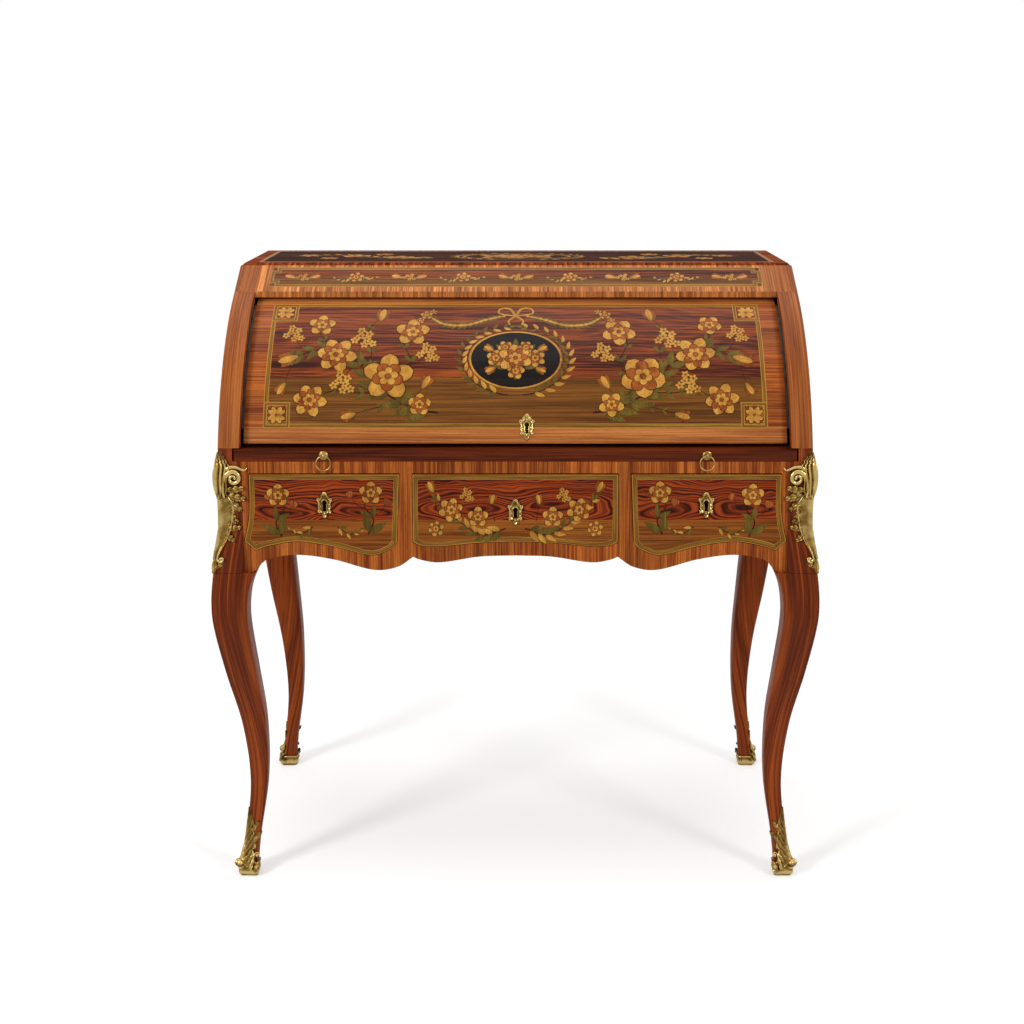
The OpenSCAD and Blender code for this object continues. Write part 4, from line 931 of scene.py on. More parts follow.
def makeSabot(label, sx, sy):
    # A fluted shoe with a falling, beaded rim and a pad below, a broad lobed leaf up the arris over it, a
    # rolled leaf tip at the toe, and on each face four leaves and a small volute.
    k = np.linspace(0, 1, 36)[:, None]
    square = squareRing(0.0, 1.0, (0.12, 0.16, 0.24, 0.16), 9)[0]
    z = k * rimHeight(1 - square.mean(1))
    level = np.maximum(z, 0.004)
    out = smoothThrough(leg["line"], level)
    lo = out - smoothThrough(leg["width"], level) - sabot["wall"]
    wide = out + sabot["swell"] * smoothThrough(sabot["line"], k + 0 * z) - lo
    pad = 0.0016 * np.exp(-((z - 0.0065) / 0.0035)**2) * np.clip(z / 0.002, 0, 1)
    bead = 0.0014 * np.exp(-((k - 0.93) / 0.055)**2) + pad
    w = 14 * steps(len(square))
    flute = 0.0007 * np.cos(w) * np.sin(np.pi * np.clip((k - 0.25) / 0.6, 0, 1))
    ring = lo[..., None] + square * wide[..., None] + unit(square - 0.5) * (bead + flute - 0.0006)[..., None]
    crest = np.clip(0.35 + bead / 0.0020 + flute / 0.0016, 0, 1)
    p = cornerPlace(sx, sy, ring, z)
    inner = lo[-1:, :, None] + 0.0028 + square * (wide - 0.0056)[-1:, :, None]
    rim = cornerPlace(sx, sy, np.minimum(inner, out[-1:, :, None]), z[-1:])
    shells = [shell(p, np.stack([0 * crest, crest], -1), closed=True),
              shell(np.concatenate([p[-1:], rim]), closed=True), lid(p[0][::-1])]
    arris = arrisPlace(sx, sy)

    def onShoe(q, lift):
        # Over the shoe's own swell, which dies away above its rim.
        over = q[..., 1] / rimHeight(np.clip(np.abs(q[..., 0]) / 0.066, 0, 0.5))
        rise = smoothThrough(sabot["line"], np.clip(over, 0, 1))
        return arris(q, lift + sabot["swell"] * np.where(over < 1, rise, 0.34 * np.exp(-(over - 1) * 5)))

    def leaf(a, v):
        rib = np.abs(np.cos(np.pi * (9 * v - 2.6 * a + 0.1)))**0.9 * (0.35 + 0.65 * a)
        edge = np.exp(-((a - 0.86) / 0.12)**2)
        return 0.0056 * (0.10 + 0.52 * rib + 0.42 * np.exp(-(a / 0.13)**2) + 0.16 * edge) * (1 - 0.45 * v)
    z = np.linspace(*sabot["leaf"], 96)
    v = (z - z[0]) / (z[-1] - z[0])
    saw = 0.55 * ((v * 9 + 0.2) % 1.0)**1.5 + 0.75 * ((v * 3 + 0.1) % 1.0)**2
    width = smoothThrough(sabot["leafWidth"], z) * (1 - 0.30 * saw * (v < 0.93))
    shells.append(reliefShell(onShoe, z, width, leaf, 45))
    height, reach, half = sabot["toe"]
    w, s = steps(32), np.linspace(-1, 1, 21)[:, None]
    r = sabot["roll"] * (1 - np.abs(s)**3.2)**0.5 * (1 + 0.06 * np.cos(7 * np.pi * s)) + 1e-5
    diagonal = smoothThrough(leg["line"], height) + reach + r * np.cos(w) * 0.70
    xy = np.stack([diagonal + half * s, diagonal - half * s], -1)
    roll = cornerPlace(sx, sy, xy, 0.0245 + r * np.sin(w))
    uv = np.stack([0 * diagonal, 0.55 + 0.4 * np.sin(w) + 0 * s], -1)
    shells.append(shell(roll, uv, closed=True, flip=sx * sy < 0))
    for side in (-1, 1):
        face = facePlace(onShoe, side)
        coil = spiral(sabot["coil"], 0.0050, -150, 1.3, -1, 30)
        path = np.concatenate([sweep([(0.0105, 0.0150), (0.0125, 0.0270)], 8), coil])
        shells += [scrollBar(face, path, np.linspace(0.0016, 0.0010, 38), 0.0020),
                   boss(face, sabot["coil"], 0.0019, 0.0010)]
        for x, up, heading, length, half, bend in sabot["leaves"]:
            shells.append(turnedLeaf(face, (x, up), heading, length, half, 0.0036, 3, bend, 0.0012, 24, 11))
    piece("sabotRelief" + label, shells, giltRelief, "case", ("sabot_" + label,), 60)


for label, sx, sy in corners:
    if "mount_" + label in nodes:
        makeMount(label, sx, sy)
    makeSabot(label, sx, sy)
print("mounts and sabots done")

# Escutcheons: a pierced cartouche with a palmette above, scrolled sides and a drop below.

# The keyhole's bow has its middle at the slot's top. The relief, in millimetres, is given at parts of the way
# from the keyhole out to the outline.
keyhole = dict(side=0.0025, top=0.004, foot=0.010, bow=0.0036)
escutcheon = dict(outline=[(-90, 0.0222), (-82, 0.0196), (-74, 0.0158), (-62, 0.0142), (-50, 0.0134),
                           (-38, 0.0118), (-26, 0.0098), (-10, 0.0086), (8, 0.0094), (24, 0.0122),
                           (36, 0.0152), (46, 0.0148), (56, 0.0142), (66, 0.0160), (74, 0.0190), (82, 0.0216),
                           (90, 0.0236)],
                  rings=[0.0, 0.03, 0.10, 0.18, 0.30, 0.45, 0.60, 0.74, 0.86, 0.94, 0.98, 1.0],
                  reliefAt=[0, 0.03, 0.10, 0.18, 0.30, 0.50, 0.66, 0.80, 0.93, 1.0],
                  relief=[-0.3, 1.5, 2.2, 2.0, 1.2, 1.0, 1.5, 2.8, 2.2, -0.4],
                  scrolls=[((0.0098, 0.0100), 0.0030, 250, 1.2, 1),
                           ((0.0086, -0.0108), 0.0026, 110, 1.1, -1)],
                  side=[(0.0085, -0.0085), (0.0096, -0.002), (0.0092, 0.004), (0.0105, 0.0074)],
                  middleLeaves=[(0.0105, 90, 0.0132, 0.0026, 22), (-0.0125, -90, 0.0108, 0.0024, 20)])


def keyholeRadius(w):
    # Distance from the plate's middle to the keyhole's edge: the slot's side, top or foot, or its round.
    c, s, top = np.cos(w), np.sin(w), keyhole["top"]
    side = keyhole["side"] / np.maximum(np.abs(c), 1e-6)
    end = np.where(s > 0, top, keyhole["foot"]) / np.maximum(np.abs(s), 1e-6)
    root = (top * s)**2 - top**2 + keyhole["bow"]**2
    bow = np.where((root > 0) & (s > 0), top * s + np.sqrt(np.clip(root, 0, None)), 0)
    return np.maximum(np.minimum(side, end), bow)


def makeEscutcheon(label, centre, place, body):
    # Rings from the keyhole to an outline given by radii at angles from the bottom round to the top; the
    # relief rises to a rim round the hole, falls into a hollow and rises to the rolled outer edge.
    w, k, centre = steps(128), np.array(escutcheon["rings"])[:, None], np.array(centre)
    up = np.arcsin(np.sin(w))
    outer = smoothThrough(escutcheon["outline"], np.degrees(up)) * (1 + 0.035 * np.cos(up * 13))
    inner = keyholeRadius(w)
    p = centre + (inner + (outer - inner) * k)[..., None] * onCircle(w)
    lift = np.interp(k, escutcheon["reliefAt"], escutcheon["relief"]) / 1000
    lift = lift * (1 + 0.22 * np.cos(9 * w) * np.clip((k - 0.4) / 0.4, 0, 1))
    uv = np.stack([0 * lift, np.clip(lift / 0.003, 0, 1)], -1)
    shells = [shell(place(p, lift), uv, closed=True)]
    for side in (-1, 1):
        for scroll in escutcheon["scrolls"]:
            shells.append(scrollBar(place, centre + spiral(*scroll, 26) * [side, 1], 0.0009, 0.0026))
        path = centre + sweep(escutcheon["side"], 14) * [side, 1]
        shells.append(scrollBar(place, path, np.linspace(0.0008, 0.0012, 14), 0.0024))
        for heading, length in ((58, 0.0096), (30, 0.0080)):
            root = centre + [side * 0.0022, 0.0112]
            turn = swung(heading, side)
            shells.append(turnedLeaf(place, root, turn, length, 0.0019, 0.0022, 2, 0, 0.0015, 18, 9))
    for y, heading, length, thick, rows in escutcheon["middleLeaves"]:
        root = centre + [0, y]
        shells.append(turnedLeaf(place, root, heading, length, 0.0024, thick, 2, 0, 0.0015, rows, 9))
    shells.append(boss(place, centre + [0, -0.0135], 0.0019, 0.0018))
    replaced = ("escutcheon_" + label.lower(),)
    piece("escutcheon" + label + "Relief", shells, giltRelief, body, replaced, 60)


def onCylinderThin(p, lift):
    # The cylinder's plate has to pass under the frieze rail, 3 mm off, so its relief is half as deep.
    return onCylinder(p, 0.5 * lift)


cylinderPlate = (0.019, np.radians(20.30 - desk["shellLow"]) * desk["shellRadius"])
for label, side, z in (("Left", -1, 0.662), ("Middle", 0, 0.650), ("Right", 1, 0.662)):
    makeEscutcheon(label, (side * desk["drawerX"], z), onFront, "drawer_" + label.lower())
makeEscutcheon("Cylinder", cylinderPlate, onCylinderThin, "cylinder")


def makeShell():
    # The cylinder's skin: one closed sheet with its veneer's UV as distance across and arc up.
    half, eased = desk["shellHalf"], 0.0006
    a = np.radians(np.linspace(desk["shellLow"], desk["shellHigh"], 97))[:, None]
    x = np.concatenate([[-half, -half + eased], np.linspace(-0.44, 0.44, 23), [half - eased, half]])
    ease = np.where(np.abs(x) > half - 0.0003, eased, 0)
    uv = np.stack(np.broadcast_arrays(x, (a - a[0]) * desk["shellRadius"]), -1)
    outer = cylinderPoint(x, desk["shellRadius"] - ease, a)
    inner = cylinderPoint(x, desk["shellInner"] + ease, a)
    shells = [shell(outer, uv), shell(inner, uv, mat=1, flip=True)]
    for k, flip in ((0, True), (-1, False)):
        shells.append(shell(np.stack([outer[k], inner[k]]), np.stack([uv[k]] * 2), flip=flip))
        ends = np.stack([outer[:, k], inner[:, k]])
        shells.append(shell(ends, np.stack([uv[:, k]] * 2), mat=1, flip=not flip))
    outwards(piece("cylinderSkin", shells, [cylinderWood, oakAlongX], "cylinder",
                   ("cylinder_shell",), 50))
    # The skin has no hole for the key, so a flat sheet of ebony, a little wider than the keyhole, is laid
    # just over it in the keyhole's shape: painted shade in place of the dark inside of the hole.
    w = steps(64)
    hole = np.array(cylinderPlate) + (keyholeRadius(w) * 1.04)[:, None] * onCircle(w)
    piece("cylinderKeyholeShade", [lid(onCylinder(hole, 0.0002))], ebonyInlay, "cylinder")


makeShell()
print("escutcheons and cylinder skin done")

# Inlay motifs, generic ones in the photo's colours and scale: sprigs, blossoms, sprays and wreaths.

def bud(at, size, place, lift, heading, wood):
    w = np.radians(heading + np.array([-24, 0, 24]))
    face, rim = (0.9 * size, 0.5 * size), (0.96 * size, 0.55 * size)
    return petals(at, w, face, rim, place, lift + 1.5 * layer, wood)


def tulip(at, size, place, lift, heading):
    # A tulip in profile: three pointed petals from one base over two narrow sepals.
    w = np.radians(heading)
    shells = cutShapes(leafOutline, at, w + [-0.75, 0.75], 0.62 * size, 0.22 * size, place, lift, greenV)
    for k, (turn, wide, wood) in enumerate(((-0.34, 0.34, tulipV), (0.34, 0.34, tulipV), (0.0, 0.40, boxV))):
        shells += petals(at, w + turn, (size, wide * size), (size * 1.03, wide * size + 0.0005), place,
                         lift + (3 + 2 * k) * layer, wood, 1)
    return shells


def starlets(centre, size, place, lift, count=7):
    # A loose cluster of tiny five-petalled flowers, spaced by the golden angle.
    k = np.arange(count)
    shells = []
    for away in (size * np.sqrt((k + 0.4) / count))[:, None] * onCircle(k * 2.39996):
        at, w = np.array(centre) + away, steps(5) + away[0] * 300
        shells += petals(at, w, (0.40 * size, 0.26 * size), (0.43 * size, 0.29 * size), place, lift, boxV)
        shells += disc(at, 0.10 * size, place, lift + 5 * layer, tulipV, 2)
    return shells


def rosette(centre, size, place, lift):
    # The corner squares' four-lobed flower: four pairs of petals on the diagonals round a small heart.
    w = np.radians(45 + 90 * np.repeat(np.arange(4), 2) + np.tile([-17, 17], 4))
    at = np.array(centre) + 0.04 * size * onCircle(w)
    shells = petals(at, w, (0.50 * size, 0.25 * size), (0.54 * size, 0.30 * size), place, lift, boxV)
    up = lift + 2 * layer
    shells += cutShapes(leafOutline, centre, steps(4), 0.34 * size, 0.12 * size, place, up, boxV)
    return shells + disc(centre, 0.09 * size, place, lift + 5 * layer, tulipV)


def sprig(root, height, place, lift, lean=0.0, hand=1):
    # An upright sprig: a bent stem with three pairs of leaves, a full blossom at its head and two buds.
    r = np.array(root)
    tip = r + [lean + 0.10 * hand * height, height * 0.80]
    path = sweep([r, r + [0.10 * hand * height, 0.28 * height],
                  r + [-0.04 * hand * height + 0.5 * lean, 0.55 * height], tip], 22)
    shells = branch(path[:17], place, lift, 0.36 * height, 3, (greenV, greenV))
    for side, at, size in ((1, 9, 0.17), (-1, 13, 0.15)):
        end = path[at] + [side * 0.26 * height, 0.20 * height]
        twig = sweep([path[at], path[at] + [side * 0.16 * height, 0.06 * height], end], 9)
        shells += stem(twig, place, lift, 0.0012)
        shells += bud(end, size * height, place, lift, 90 - side * 28, tulipV)
    return shells + blossom(tip, 0.44 * height, place, lift + 5 * layer)


spray = dict(main=[(0.118, 0.050), (0.170, 0.060), (0.226, 0.092), (0.264, 0.140), (0.316, 0.170),
                   (0.366, 0.156)],
             shoots=[(12, ((0.196, 0.098), (0.176, 0.140), (0.190, 0.184), (0.176, 0.214)), 0.024, 7),
                     (26, ((0.262, 0.086), (0.306, 0.090), (0.344, 0.066)), 0.022, 6),
                     (36, ((0.244, 0.166), (0.252, 0.206), (0.236, 0.236)), 0.020, 5),
                     (50, ((0.330, 0.196), (0.338, 0.226)), 0.018, 4),
                     (18, ((0.232, 0.060), (0.268, 0.050)), 0.017, 4)],
             roses=[(0.214, 0.116, 0.080, 5), (0.304, 0.158, 0.066, 6), (0.176, 0.206, 0.056, 5),
                    (0.344, 0.074, 0.056, 6), (0.332, 0.222, 0.044, 5), (0.160, 0.066, 0.040, 5)],
             twigs=[((0.186, 0.066), (0.168, 0.080), (0.156, 0.094)),
                    ((0.352, 0.164), (0.376, 0.138), (0.386, 0.106)),
                    ((0.262, 0.140), (0.266, 0.164), (0.258, 0.186)),
                    ((0.262, 0.140), (0.282, 0.124), (0.290, 0.104)),
                    ((0.182, 0.140), (0.164, 0.144), (0.152, 0.158)),
                    ((0.350, 0.164), (0.368, 0.178), (0.374, 0.196))],
             tulips=[(0.368, 0.154, 0.034, -18), (0.232, 0.232, 0.030, 100), (0.266, 0.050, 0.026, -16),
                     (0.156, 0.094, 0.026, 118), (0.386, 0.104, 0.024, -60)],
             clusters=[(0.258, 0.190, 0.020), (0.290, 0.102, 0.019), (0.148, 0.160, 0.018),
                       (0.378, 0.200, 0.017)])


def longSpray(place, hand, lift):
    # A long flowering branch that rises in an S from beside the middle, with side shoots that end in
    # roses, tulips and clusters of small flowers.
    up = lift + 5 * layer
    main = sweep(handed(spray["main"], hand), 70)
    shells = branch(main[3:], place, lift, 0.038, 12, (greenV, greenV), 0.62)
    for start, points, leaf, count in spray["shoots"]:
        path = sweep([main[start], *handed(points, hand)], 26)
        shells += branch(path, place, lift, leaf, count, (greenV, greenV))
    for x, y, size, count in spray["roses"]:
        shells += blossom((hand * x, y), size, place, up, count, 0.2 * count * hand)
    for points in spray["twigs"]:
        shells += stem(sweep(handed(points, hand), 14), place, lift + layer, 0.0014)
    for x, y, size, heading in spray["tulips"]:
        shells += tulip((hand * x, y), size, place, up, swung(heading, hand))
    for x, y, size in spray["clusters"]:
        shells += starlets((hand * x, y), size, place, up)
    return shells


swag = dict(path=[(0.012, 0.246), (0.046, 0.236), (0.084, 0.222), (0.122, 0.224), (0.152, 0.244)],
            bow=[((0.0, 0.243), (0.010, 0.262), (0.026, 0.262), (0.028, 0.250), (0.0, 0.243)),
                 ((0.0, 0.243), (0.012, 0.232), (0.010, 0.222))],
            roses=[(0.154, 0.246, 0.020), (0.164, 0.232, 0.014), (0.142, 0.254, 0.013)])


def garland(place, hand, lift):
    # A swag of husks that hangs from a ribbon over the medallion out to each side.
    path = sweep(handed(swag["path"], hand), 60)
    shells = stem(path, place, lift, 0.0012)
    k = np.linspace(2, 55, 17).astype(int)
    t = np.gradient(path, axis=0)[k]
    w = np.arctan2(t[:, 1], t[:, 0])
    size = 0.0125 * (0.7 + 0.5 * np.sin(np.linspace(0.2, 2.9, 17)))
    for turn, up, wood in ((0.55, 2, greenV), (-0.55, 2, greenV), (0.0, 8, boxV)):
        shells += cutShapes(leafOutline, path[k], w + turn, size, 0.40 * size, place, lift + up * layer, wood)
    for points in swag["bow"]:
        shells += stem(sweep(handed(points, hand), 24), place, lift + 16 * layer, 0.0050, boxV)
    for x, y, wide in swag["roses"]:
        shells += blossom((hand * x, y), wide, place, lift + 15 * layer, turn=0.4)
    return shells


# Places in the bunch are parts of the oval's half width and half height.
bunch = dict(rims=[(1.10, 1.045), (1.045, 1.03)], ground=(1.03, 0.7, 0.35, 0.001),
             leaves=[(-0.30, -0.36, 160, 0.42), (0.30, -0.36, 20, 0.42), (0.0, 0.30, 90, 0.36),
                     (-0.30, 0.20, 135, 0.36), (0.30, 0.20, 45, 0.36), (0.0, -0.42, 270, 0.26),
                     (-0.42, -0.08, 185, 0.34), (0.42, -0.08, -5, 0.34)],
             roses=[(-0.46, 0.02, 0.46), (0.46, 0.02, 0.46), (-0.24, 0.44, 0.36), (0.24, 0.44, 0.36),
                    (0.0, -0.46, 0.40), (0.0, 0.02, 0.78)],
             tulips=[(-0.72, 0.30, 150), (0.72, 0.30, 30), (-0.66, -0.34, 205), (0.66, -0.34, -25)])


def medallion(place, centre, a, b, lift, dark):
    # An oval inside a light line and a wreath, of ebony where it is dark, with a bunch of flowers on it.
    centre = np.array(centre)

    def rings(scale, up, mat):
        p = centre + np.array(scale)[:, None, None] * onCircle(steps(64)) * [a, b]
        return [shell(place(p, up), closed=True, mat=mat)]
    shells = rings(bunch["rims"][0], lift, boxV) + rings(bunch["rims"][1], lift + layer, burntV)
    if dark:
        shells += rings(bunch["ground"], lift, ebonyV)
    for hand in (1, -1):
        path = centre + 1.26 * a * onCircle(np.radians(np.linspace(-82, 82, 50))) * [hand, b / a * 1.04]
        shells += branch(path, place, lift, 0.0185, 13, taper=0.8)
    up = lift + 5 * layer
    for x, y, turn, length in bunch["leaves"]:
        at = centre + [x * a * 0.7, y * b]
        shells += cutShapes(leafOutline, at, np.radians(turn), length * a, 0.17 * a, place, up, greenV)
    for k, (x, y, size) in enumerate(bunch["roses"]):
        at, high = centre + [x * a, y * b], up + (3 + 2 * k) * layer
        shells += blossom(at, size * a, place, high, 5 + k % 2, 0.2 + 0.3 * k)
    for x, y, turn in bunch["tulips"]:
        shells += tulip(centre + [x * a * 0.72, y * b], 0.26 * a, place, up, turn)
    return shells


# Drawer fronts: their outlines follow the part's own stations.

drawer = dict(top=0.714, bandWidth=0.0068, band=0.00012, stem=0.00016, flower=0.00022,
              bottom=[(0.197, 0.598), (0.2059, 0.588), (0.2391, 0.577), (0.2999, 0.591), (0.3631, 0.600),
                      (0.412, 0.592), (0.4326, 0.585)],
              flare=[(0.601, 0.010), (0.632, 0.003), (0.663, 0.0), (0.714, 0.0)],
              middleBottom=[(0, 0.600), (0.0595, 0.598), (0.1241, 0.592), (0.1564, 0.593), (0.170, 0.599)],
              low=[(0.020, 0.625), (0.042, 0.6125), (0.060, 0.620)],
              middle=[(0.016, 0.622), (0.055, 0.612), (0.095, 0.636), (0.130, 0.672)],
              roses=[(0.062, 0.642, 0.034, 5), (0.106, 0.654, 0.040, 6), (0.132, 0.622, 0.026, 6)],
              tulips=[(0.136, 0.684, 0.020, 66), (0.040, 0.664, 0.017, 104)])


def outerDrawerEdges():
    # The right drawer's outline, counter-clockwise from the front.
    top = drawer["top"]
    x, z = np.linspace(0.197, 0.4326, 61), np.linspace(0.601, top, 24)
    bottom = np.stack([x, smoothThrough(drawer["bottom"], x)], 1)
    flare = np.stack([0.440 + smoothThrough(drawer["flare"], z), z], 1)
    return [straight((0.440, top), (0.192, top)), straight((0.192, top), (0.197, 0.598)), bottom,
            straight((0.4326, 0.585), (0.450, 0.601), 0.004), flare]


def middleDrawerEdges():
    half, top, low = 0.170, drawer["top"], 0.599
    x = np.linspace(-half, half, 81)
    bottom = np.stack([x, smoothThrough(drawer["middleBottom"], np.abs(x))], 1)
    return [straight((half, top), (-half, top)), straight((-half, top), (-half, low)), bottom,
            straight((half, low), (half, top))]


def outerFlowers(x, side):
    # On each side of an outer drawer's lock, a sprig and a low branch.
    root = (x + side * 0.072, 0.6085 + 0.004 * (side * x < 0))
    low = sweep(handed(drawer["low"], side, x), 20)
    return (sprig(root, 0.088, onFront, drawer["stem"], -side * 0.004, side)
            + branch(low, onFront, drawer["stem"], 0.0135, 4))


def middleFlowers(side):
    # On each side of the middle drawer's lock, a rising branch with roses, small flowers and tulips.
    stemUp, flowerUp = drawer["stem"], drawer["flower"]
    shells = branch(sweep(handed(drawer["middle"], side), 40), onFront, stemUp, 0.023, 9, taper=0.6)
    for x, z, size, count in drawer["roses"]:
        shells += blossom((side * x, z), size, onFront, flowerUp, count)
    shells += starlets((side * 0.080, 0.678), 0.011, onFront, flowerUp)
    for x, z, size, turn in drawer["tulips"]:
        shells += stem(sweep(handed([(x - 0.006, z - 0.030), (x, z)], side), 6), onFront, stemUp, 0.0011)
        shells += tulip((side * x, z), size, onFront, flowerUp, swung(turn, side))
    return shells


def dressDrawers():
    outer = outerDrawerEdges()
    for name, edges, x in (("Left", mirrored(outer), -desk["drawerX"]), ("Middle", middleDrawerEdges(), 0.0),
                           ("Right", outer, desk["drawerX"])):
        body, width = "drawer_" + name.lower(), drawer["bandWidth"]
        bands = framing(edges, onFront, drawer["band"], width, start=0.0004)
        piece("drawerBanding" + name, bands, bandWoods, body)
        shells = [s for side in (-1, 1) for s in (outerFlowers(x, side) if x else middleFlowers(side))]
        piece("drawerInlay" + name, shells, inlayWoods, body)


cylinder = dict(half=0.4195, low=0.0257, high=0.2751, square=0.044, band=0.00012, ground=0.00016,
                squareBand=0.00020, flower=0.00024, stem=0.00016, rim=0.00014,
                bandWidth=0.0058, line=0.0008, medallion=(0.072, 0.052))


def dressCylinder():
    # A frame with a rosette in a square at each corner, and inside it sprays, swags and the medallion.
    x1, s0, s1, square = (cylinder[k] for k in ("half", "low", "high", "square"))
    edges = rectangle(-x1, s0, x1, s1)
    shells = framing(edges, onCylinder, cylinder["band"], cylinder["bandWidth"], cylinder["line"])
    ground, flowers = [], []
    for x in (-x1, x1 - square):
        for s in (s0, s1 - square):
            p = np.stack(np.meshgrid([x, x + square], [s, s + square / 2, s + square]), -1)
            ground.append(shell(onCylinder(p, cylinder["ground"]), p))
            box = rectangle(x, s, x + square, s + square)
            shells += framing(box, onCylinder, cylinder["squareBand"], 0.0042, 0.0007)
            flowers += rosette((x + square / 2, s + square / 2), 0.030, onCylinder, cylinder["flower"])
    piece("cylinderSquares", ground, crossBand, "cylinder")
    piece("cylinderBanding", shells, bandWoods, "cylinder")
    for motif in (longSpray, garland):
        flowers += motif(onCylinder, 1, cylinder["stem"]) + motif(onCylinder, -1, cylinder["stem"])
    flowers += medallion(onCylinder, (0.0, 0.150), *cylinder["medallion"], cylinder["rim"], True)
    piece("cylinderInlay", flowers, inlayWoods, "cylinder")


dressDrawers()
dressCylinder()
print("drawers and cylinder dressed")

# Frieze, top, stiles, sides, back and writing slide.

frieze = dict(length=float(np.hypot(desk["crestY"] - desk["friezeY"], desk["crestZ"] - desk["friezeZ"])),
              half=0.4898, frame=(0.433, 0.0140, 0.0710), step=0.0105, pitch=0.094, veneer=0.00010,
              band=0.00018, stem=0.00022, tulip=0.00026, starlets=0.00028, rose=0.00030)


def friezeMix(o, uv):
    # A border of narrow light leaves laid across it, plain ends, and the dark ground over a brown floor.
    s = split(uv)
    away, level = absolute(s[0]), absolute(minus(s[1], 0.0425))
    border, h = grain(axes(uv, "yxz"), "bandTulip", leaf=0.0045, tone=0.7, contrast=1.2)
    ends = grain(axes(uv, "yxz"), "stileTulip", contrast=0.9)[0]
    ground, floor = (grain(uv, wood, streak=k)[0] for wood, k in (("rosewood", 520.0), ("floorWood", 420.0)))
    inside = mixColour(under(s[1], 0.040), ground, floor)
    outside = mixColour(under(0.452, away), border, ends)
    return mixColour(times(under(level, 0.027), under(away, 0.430)), outside, inside), h


def dressFrieze():
    # Its frame is stepped in at the corners; flowers and pairs of tulips follow each other by turns.
    wood = woodShader("friezeWood", friezeMix, "frieze")
    up = [0.0003, 0.02, 0.04, 0.06, frieze["length"] - 0.0004]
    p = np.stack(np.meshgrid(np.linspace(-frieze["half"], frieze["half"], 41), up), -1)
    piece("friezeVeneer", [shell(onFrieze(p, frieze["veneer"]), p)], wood, "case")
    (x, y0, y1), step = frieze["frame"], frieze["step"]
    near = x - step
    right = [(near, y0), (near, y0 + step), (x, y0 + step), (x, y1 - step), (near, y1 - step), (near, y1)]
    edges = polygonEdges(right + [(-a, b) for a, b in right[::-1]])
    piece("friezeBanding", framing(edges, onFrieze, frieze["band"], 0.0058), bandWoods)
    shells = []
    for k in range(-4, 5):
        x = frieze["pitch"] * k
        if k % 2:
            shells += blossom((x, 0.0415), 0.027, onFrieze, frieze["rose"], 6)
        else:
            shells += starlets((x, 0.042), 0.0105, onFrieze, frieze["starlets"], 6)
        for side in (-1, 1):
            if k % 2:
                path = sweep(handed([(0.010, 0.040), (0.022, 0.034), (0.036, 0.040)], side, x), 14)
                shells += branch(path, onFrieze, frieze["stem"], 0.0125, 4, (boxV, greenV))
            else:
                shells += tulip((x + side * 0.012, 0.039), 0.021, onFrieze, frieze["tulip"], 90 - side * 68)
    piece("friezeInlay", shells, inlayWoods)


topBoard = dict(low=1.026, chamfer=0.006, field=(-0.462, 0.018, 0.462, 0.240), band=0.00012,
                stem=0.00010, rose=0.00003, medallion=(0.092, 0.050),
                spray=[(0.135, 0.120), (0.20, 0.092), (0.27, 0.120), (0.33, 0.160), (0.40, 0.140)],
                roses=[(0.215, 0.112, 0.052, 5), (0.300, 0.140, 0.058, 5), (0.385, 0.146, 0.040, 6),
                       (0.250, 0.170, 0.034, 5), (0.345, 0.094, 0.034, 6)])


def topMix(o, uv):
    # A dark field of long grain inside a border of short cross-grained leaves, by place on the top.
    s = split(o)
    front, half, rear = topBoard["field"][1:]
    away = absolute(s[0])
    field, h = grain(o, "topField")
    edge = grain(axes(o, "yxz"), "tulipDark", leaf=0.0045, tone=0.9)[0]
    ends = grain(o, "tulipDark", leaf=0.040, tone=0.35)[0]
    deep = times(under(front, s[1]), under(s[1], rear))
    return mixColour(under(half, away), mixColour(times(deep, under(away, half)), edge, field), ends), h


def dressTop():
    # The top board's profile from the slope over its crest to the back, carried along X, with its ends
    # chamfered by 6 mm. Its field lies 0.4 mm low, so that the inlay stays within the height.
    low, top = topBoard["low"], desk["top"] - desk["topSink"]
    shoulder, back = top - topBoard["chamfer"], desk["halfDepth"]
    slopeY, edgeY = (desk["crestY"] + (z - desk["crestZ"]) / desk["slope"] for z in (low, shoulder))
    full = np.array([(slopeY, low), (desk["crestY"], desk["crestZ"]), (-0.00065, top), (0.05, top),
                     (0.15, top), (back - 0.0006, top), (back, top - 0.0006), (back, low)])
    end = full.copy()
    end[1, 0], end[1:7, 1] = edgeY, shoulder
    rows = np.stack([end] + [full] * 33 + [end])
    half = desk["halfWidth"]
    x = np.concatenate([[-half], np.linspace(-0.484, 0.484, 33), [half]])
    p = spot(x[:, None], rows[..., 0], rows[..., 1])
    shells = [shell(p, p[..., :2], closed=True), lid(p[0]), lid(p[-1])]
    wood = woodShader("topWood", topMix, "top")
    outwards(piece("topVeneer", shells, wood, "case", ("top_board",), 20))
    piece("topBanding", framing(rectangle(*topBoard["field"]), onTop, topBoard["band"], 0.0052), bandWoods)
    flowerWoods = [inlayShader(name, wood, "topInlay") for name, wood in (
        ("topBox", "boxwood"), ("topGreen", "greenWood"), ("topTulip", "tulipwood"))]
    shells = medallion(onTop, (0.0, 0.129), *topBoard["medallion"], topBoard["stem"], False)
    for hand in (-1, 1):
        path = sweep(handed(topBoard["spray"], hand), 60)
        shells += branch(path, onTop, topBoard["stem"], 0.032, 13, taper=0.6)
        for x, y, wide, count in topBoard["roses"]:
            shells += blossom((hand * x, y), wide, onTop, topBoard["rose"], count)
    piece("topInlay", shells, flowerWoods + inlayWoods[3:])


